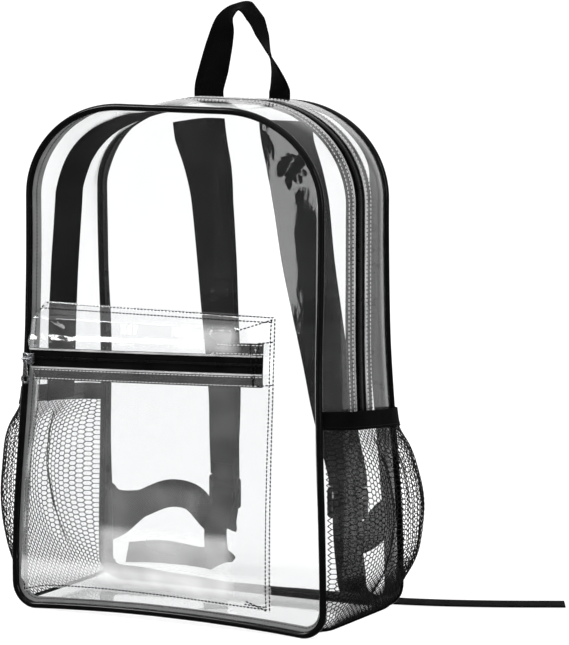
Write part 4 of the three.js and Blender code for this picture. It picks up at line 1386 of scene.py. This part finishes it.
def edgeStitches(rows, thick, inset, steps):
    bodies = []
    sections, uv = ribbonGrid(rows, thick, steps, 8)
    half = sections.shape[1] // 2
    for first, last in ((0, half - 1), (half, 2 * half - 1)):
        left, right = sections[:, first], sections[:, last]
        across = units(right - left)
        normal = units(np.cross(across, np.gradient(left, axis=0)))
        middle = (left + right) / 2
        other = sections[:, half:].mean(axis=1) if first == 0 else sections[:, :half].mean(axis=1)
        sign = np.sign(np.sum((middle - other) * normal, axis=1))[:, None]
        lift = normal * sign * thick * 0.25
        bodies.append(stitches(left + across * inset + lift, normal * sign, 3, 2.4, 0.28))
        bodies.append(stitches(right - across * inset + lift, normal * sign, 3, 2.4, 0.28))
    return joined(bodies)


buckle = {
    "width": 36,
    "height": 28,
    "thick": 4.6,
    "bar": 4.5,
    "slotHalf": 13.6,
    "fillHalf": 12.9,  # half the width of the webbing that fills a slot
    "corner": 3.6,
}
slotHeight = (buckle["height"] - 3 * buckle["bar"]) / 2
webbing = {
    "width": 25,
    "thick": 1.7,
    "gap": 0.4,
    "anchorZ": 58,
    "anchorWidth": 56,
    "tailLeft": 112,
    "tailRight": 197,
    # From the back seam. Columns: way over to the buckle, way back, height share, widening.
    "anchorRows": [[0, 0.03, 1, 1], [0.1, 0.15, 1, 0.55], [0.22, 0.5, 1.09, 0], [0.4, 0.9, 1.21, 0]],
    # The turn under the buckle. Columns: way over, behind and below in widths, the width's way.
    "turnRows": [
        [0.58, 0.24, -0.19, 0.35, 0.93],
        [0.76, 0.4, 0.48, 0.75, 0.6],
        [0.92, 0.28, 0.76, 0.9, 0.2],
    ],
    # The free end. Columns: along and across as shares, height share, the width's way, tilt in degrees.
    "tailRows": {
        "left": [
            [-0.03, -0.2, 0.69, 0.97, -0.2, 0],
            [-0.03, -0.17, 0.36, 1, -0.1, 0],
            [-0.05, -0.02, 0.14, 1, 0.1, 10],
            [-0.08, 0.2, 0.03, 0.88, 0.46, 26],
            [-0.2, 0.41, 0, 0.6, 0.8, 38],
            [-0.45, 0.55, 0, 0.1, 1, 30],
            [-0.73, 0.46, 0, -0.15, 0.98, 42],
            [-0.98, 0.28, 0, -0.25, 0.96, 34],
        ],
        "right": [
            [0.03, -0.2, 0.69, 0.97, 0.25, 0],
            [0.061, -0.31, 0.3, 0.9, 0.4, 0],
            [0.091, -0.43, 0.06, 0.7, 0.7, 0],
            [0.157, -0.57, 0.005, 0.5, 0.85, 0],
            [0.269, -0.64, 0, 0, 1, 0],
            [0.452, -0.5, 0, -0.3, 0.95, 0],
            [0.716, -0.13, 0, -0.36, 0.93, 0],
            [1, 0.38, 0, -0.45, 0.9, 0],
        ],
    },
}
w = webbing["width"]
floorZ = webbing["thick"] / 2 + 0.4
for side, way in (("Left", -1), ("Right", 1)):
    node = side.lower()
    rows = strapRows(way)
    piece = addRibbon(
        "shoulderStrap" + side, rows, strap["thick"], 110, strapCloth,
        ["shoulder_strap_" + node], 12,
    )
    points, faces = edgeStitches(rows, strap["thick"], 3.5, 110)
    addPiece("strapStitches" + side, points, faces, stitchThread)

    end = np.array(rows[-1][:3])
    right = np.array([math.cos(strap["turn"]), way * math.sin(strap["turn"]), 0])
    front = np.array([right[1], -right[0], 0])
    middle = end + np.array([0, 0, -0.4 - buckle["height"] / 2])
    slots = [
        roundedRing(buckle["slotHalf"], slotHeight / 2, 1.6, 0, s * (buckle["bar"] + slotHeight) / 2)[::-1]
        for s in (-1, 1)
    ]
    buckleEdge = roundedRing(buckle["width"] / 2, buckle["height"] / 2, buckle["corner"])
    frameBody = plateBody(buckleEdge, slots, buckle["thick"], 1.1)
    points, faces = placed(frameBody, right, (0, 0, 1), middle)
    addPiece(
        "strapBuckle" + side, points, faces, buckleBlack, ["strap_buckle_" + node],
        sharp=40,
    )

    # the webbing fills both slots
    fill = []
    for s in (-1, 1):
        slotZ = s * (buckle["bar"] + slotHeight) / 2
        fillEdge = roundedRing(buckle["fillHalf"], slotHeight / 2 + 0.5, 0.6, 0, slotZ)
        fill.append(plateBody(fillEdge, [], 2.2, 0.3))
    points, faces = placed(joined(fill), right, (0, 0, 1), middle)
    addPiece("buckleFill" + side, points, faces, webCloth, uv=np.zeros((len(points), 2)))

    # a short loop holds the buckle's top bar at the strap's end
    around = [[2.9, 11], [2.9, 2], [3.0, -3.2], [0.4, -6.4], [-3.0, -3.2], [-2.9, 2], [-2.9, 11]]
    loopRows = [list(end - front * off + np.array([0, 0, up])) + list(right) + [w] for off, up in around]
    addRibbon("buckleLoop" + side, loopRows, 1.3, 60, webCloth, (), 6)

    # lower webbing, up through the buckle and out as the free end
    seamX = way * (halfWidthAt(webbing["anchorZ"]) - 6)
    seamBack = depthAt(webbing["anchorZ"]) / 2 + bag["seamRadius"]
    lowZ = end[2] - buckle["height"] - 2 * webbing["gap"]
    topZ = end[2] - buckle["height"]
    rows = []
    for p, back, up, wide in webbing["anchorRows"]:
        width = mix(w, webbing["anchorWidth"], wide)
        place = [mix(seamX, end[0], p), mix(seamBack, end[1], back), up * webbing["anchorZ"]]
        rows.append(place + [0, 0, 1, width])
    rows += [
        [mix(seamX, end[0], p), end[1] + behind * w, lowZ - below * w, -way * wx, 0, wz, w]
        for p, behind, below, wx, wz in webbing["turnRows"]
    ]
    flip = [-way * right[0], -way * right[1], 0, w]
    bars = [
        [1.5, lowZ - w / 3], [3.4, lowZ + 1], [3.5, lowZ + 9], [3.4, lowZ + 14], [0.2, lowZ + 18.3],
        [-3.4, lowZ + 14], [-3.6, lowZ + 8], [-3.8, lowZ + 1],
    ]
    rows += [list(end[:2] - front[:2] * off) + [z] + flip for off, z in bars]
    reach = webbing["tailLeft"] if way < 0 else webbing["tailRight"]
    behindBag = end[1] - bag["depthLow"] / 2 - bag["seamRadius"]
    for dx, dy, up, wx, wy, tilt in webbing["tailRows"][node]:
        lean = math.radians(tilt)
        z = mix(floorZ, topZ, up) + math.sin(lean) * w / 2
        across = [-way * wx * math.cos(lean), -way * wy * math.cos(lean), -way * math.sin(lean)]
        rows.append([end[0] + dx * reach, end[1] + dy * behindBag, z] + across + [w])
    addRibbon(
        "webbing" + side, rows, webbing["thick"], 260, webCloth,
        ["lower_webbing_" + node, "webbing_tail_" + node], 8,
    )
print("straps: made")

# Floor, light and camera

stage = {
    "floor": 60.0,
    "floorColour": (0.92, 0.92, 0.92, 1),
    "sky": 1.05,
    "darkRoom": 0.05,
    "camera": (1.4712, -2.6145, 0.6283),
    "target": (0.0567, 0.0320, 0.2438),
    "lens": 200.84,
    "backdrop": (-0.47, 0.88, 0.0),  # the way to the white backdrop, for reflections
    # Lamps. Columns: place, size across and up, power, all in metres and watts.
    "lamps": {
        "keyLamp": [(-1.9, -1.7, 2.3), (1.2, 0.9), 42],
        "rightLamp": [(1.9, -1.0, 0.9), (0.25, 1.4), 9],
        "backRightLamp": [(0.86, 1.45, 0.36), (0.42, 1.3), 0.9],
        "leftCard": [(-0.4025, -1.12, 0.345), (0.085, 0.33), 0.33],
    },
}
half = stage["floor"] / 2
floorMesh = bpy.data.meshes.new("floor")
floorCorners = [(-half, -half, 0), (half, -half, 0), (half, half, 0), (-half, half, 0)]
floorMesh.from_pydata(floorCorners, [], [[0, 1, 2, 3]])
floor = bpy.data.objects.new("floor", floorMesh)
bpy.context.scene.collection.objects.link(floor)
floorLook, tree = newMaterial("pale floor")
paper = put(tree, "BsdfDiffuse", {"Color": stage["floorColour"]})
glow = put(tree, "Emission", {"Color": grey(1.0), "Strength": 1.35})
lit = put(tree, "MixShader", {0: 0.6, 1: paper.outputs[0], 2: glow.outputs[0]})
put(tree, "OutputMaterial", {"Surface": lit.outputs[0]})
floorMesh.materials.append(floorLook)
floor.visible_glossy = False

for name, (place, size, power) in stage["lamps"].items():
    light = bpy.data.lights.new(name, "AREA")
    light.shape = "RECTANGLE"
    light.size, light.size_y = size
    light.energy = power
    lamp = bpy.data.objects.new(name, light)
    lamp.location = place
    lamp.rotation_mode = "QUATERNION"
    lamp.rotation_quaternion = (Vector((0, 0, 0.22)) - Vector(place)).to_track_quat("-Z", "Y")
    bpy.context.scene.collection.objects.link(lamp)

world = bpy.data.worlds.new("studio")
bpy.context.scene.world = world
world.use_nodes = True
tree = world.node_tree
tree.nodes.clear()
bright = put(tree, "Background", {"Color": grey(1.0), "Strength": stage["sky"]})
heading = put(tree, "TexCoord").outputs["Generated"]
parts = put(tree, "SeparateXYZ", {0: heading})
overhead = ranged(tree, parts.outputs[2], 0.35, 1.0, stage["darkRoom"], 0.8)
facing = put(tree, "VectorMath", {0: heading, 1: stage["backdrop"]}, operation="DOT_PRODUCT")
behind = ranged(tree, facing.outputs["Value"], 0.6, 0.85, 0.0, 1.0)
level = maths(tree, "MAXIMUM", overhead, behind)
dim = put(tree, "Background", {"Color": grey(1.0), "Strength": level})
shiny = put(tree, "LightPath").outputs["Is Glossy Ray"]
either = put(tree, "MixShader", {0: shiny, 1: bright.outputs[0], 2: dim.outputs[0]})
put(tree, "OutputWorld", {"Surface": either.outputs[0]})

cameraData = bpy.data.cameras.new("camera")
cameraData.lens = stage["lens"]
cameraData.sensor_width = 36
cameraData.clip_end = 100
camera = bpy.data.objects.new("camera", cameraData)
camera.location = stage["camera"]
camera.rotation_mode = "QUATERNION"
camera.rotation_quaternion = (Vector(stage["target"]) - Vector(stage["camera"])).to_track_quat("-Z", "Y")
bpy.context.scene.collection.objects.link(camera)
bpy.context.scene.camera = camera

scene = bpy.context.scene
scene.view_settings.view_transform = "Standard"
scene.cycles.transparent_max_bounces = 40
scene.cycles.max_bounces = 16
print("stage: made")
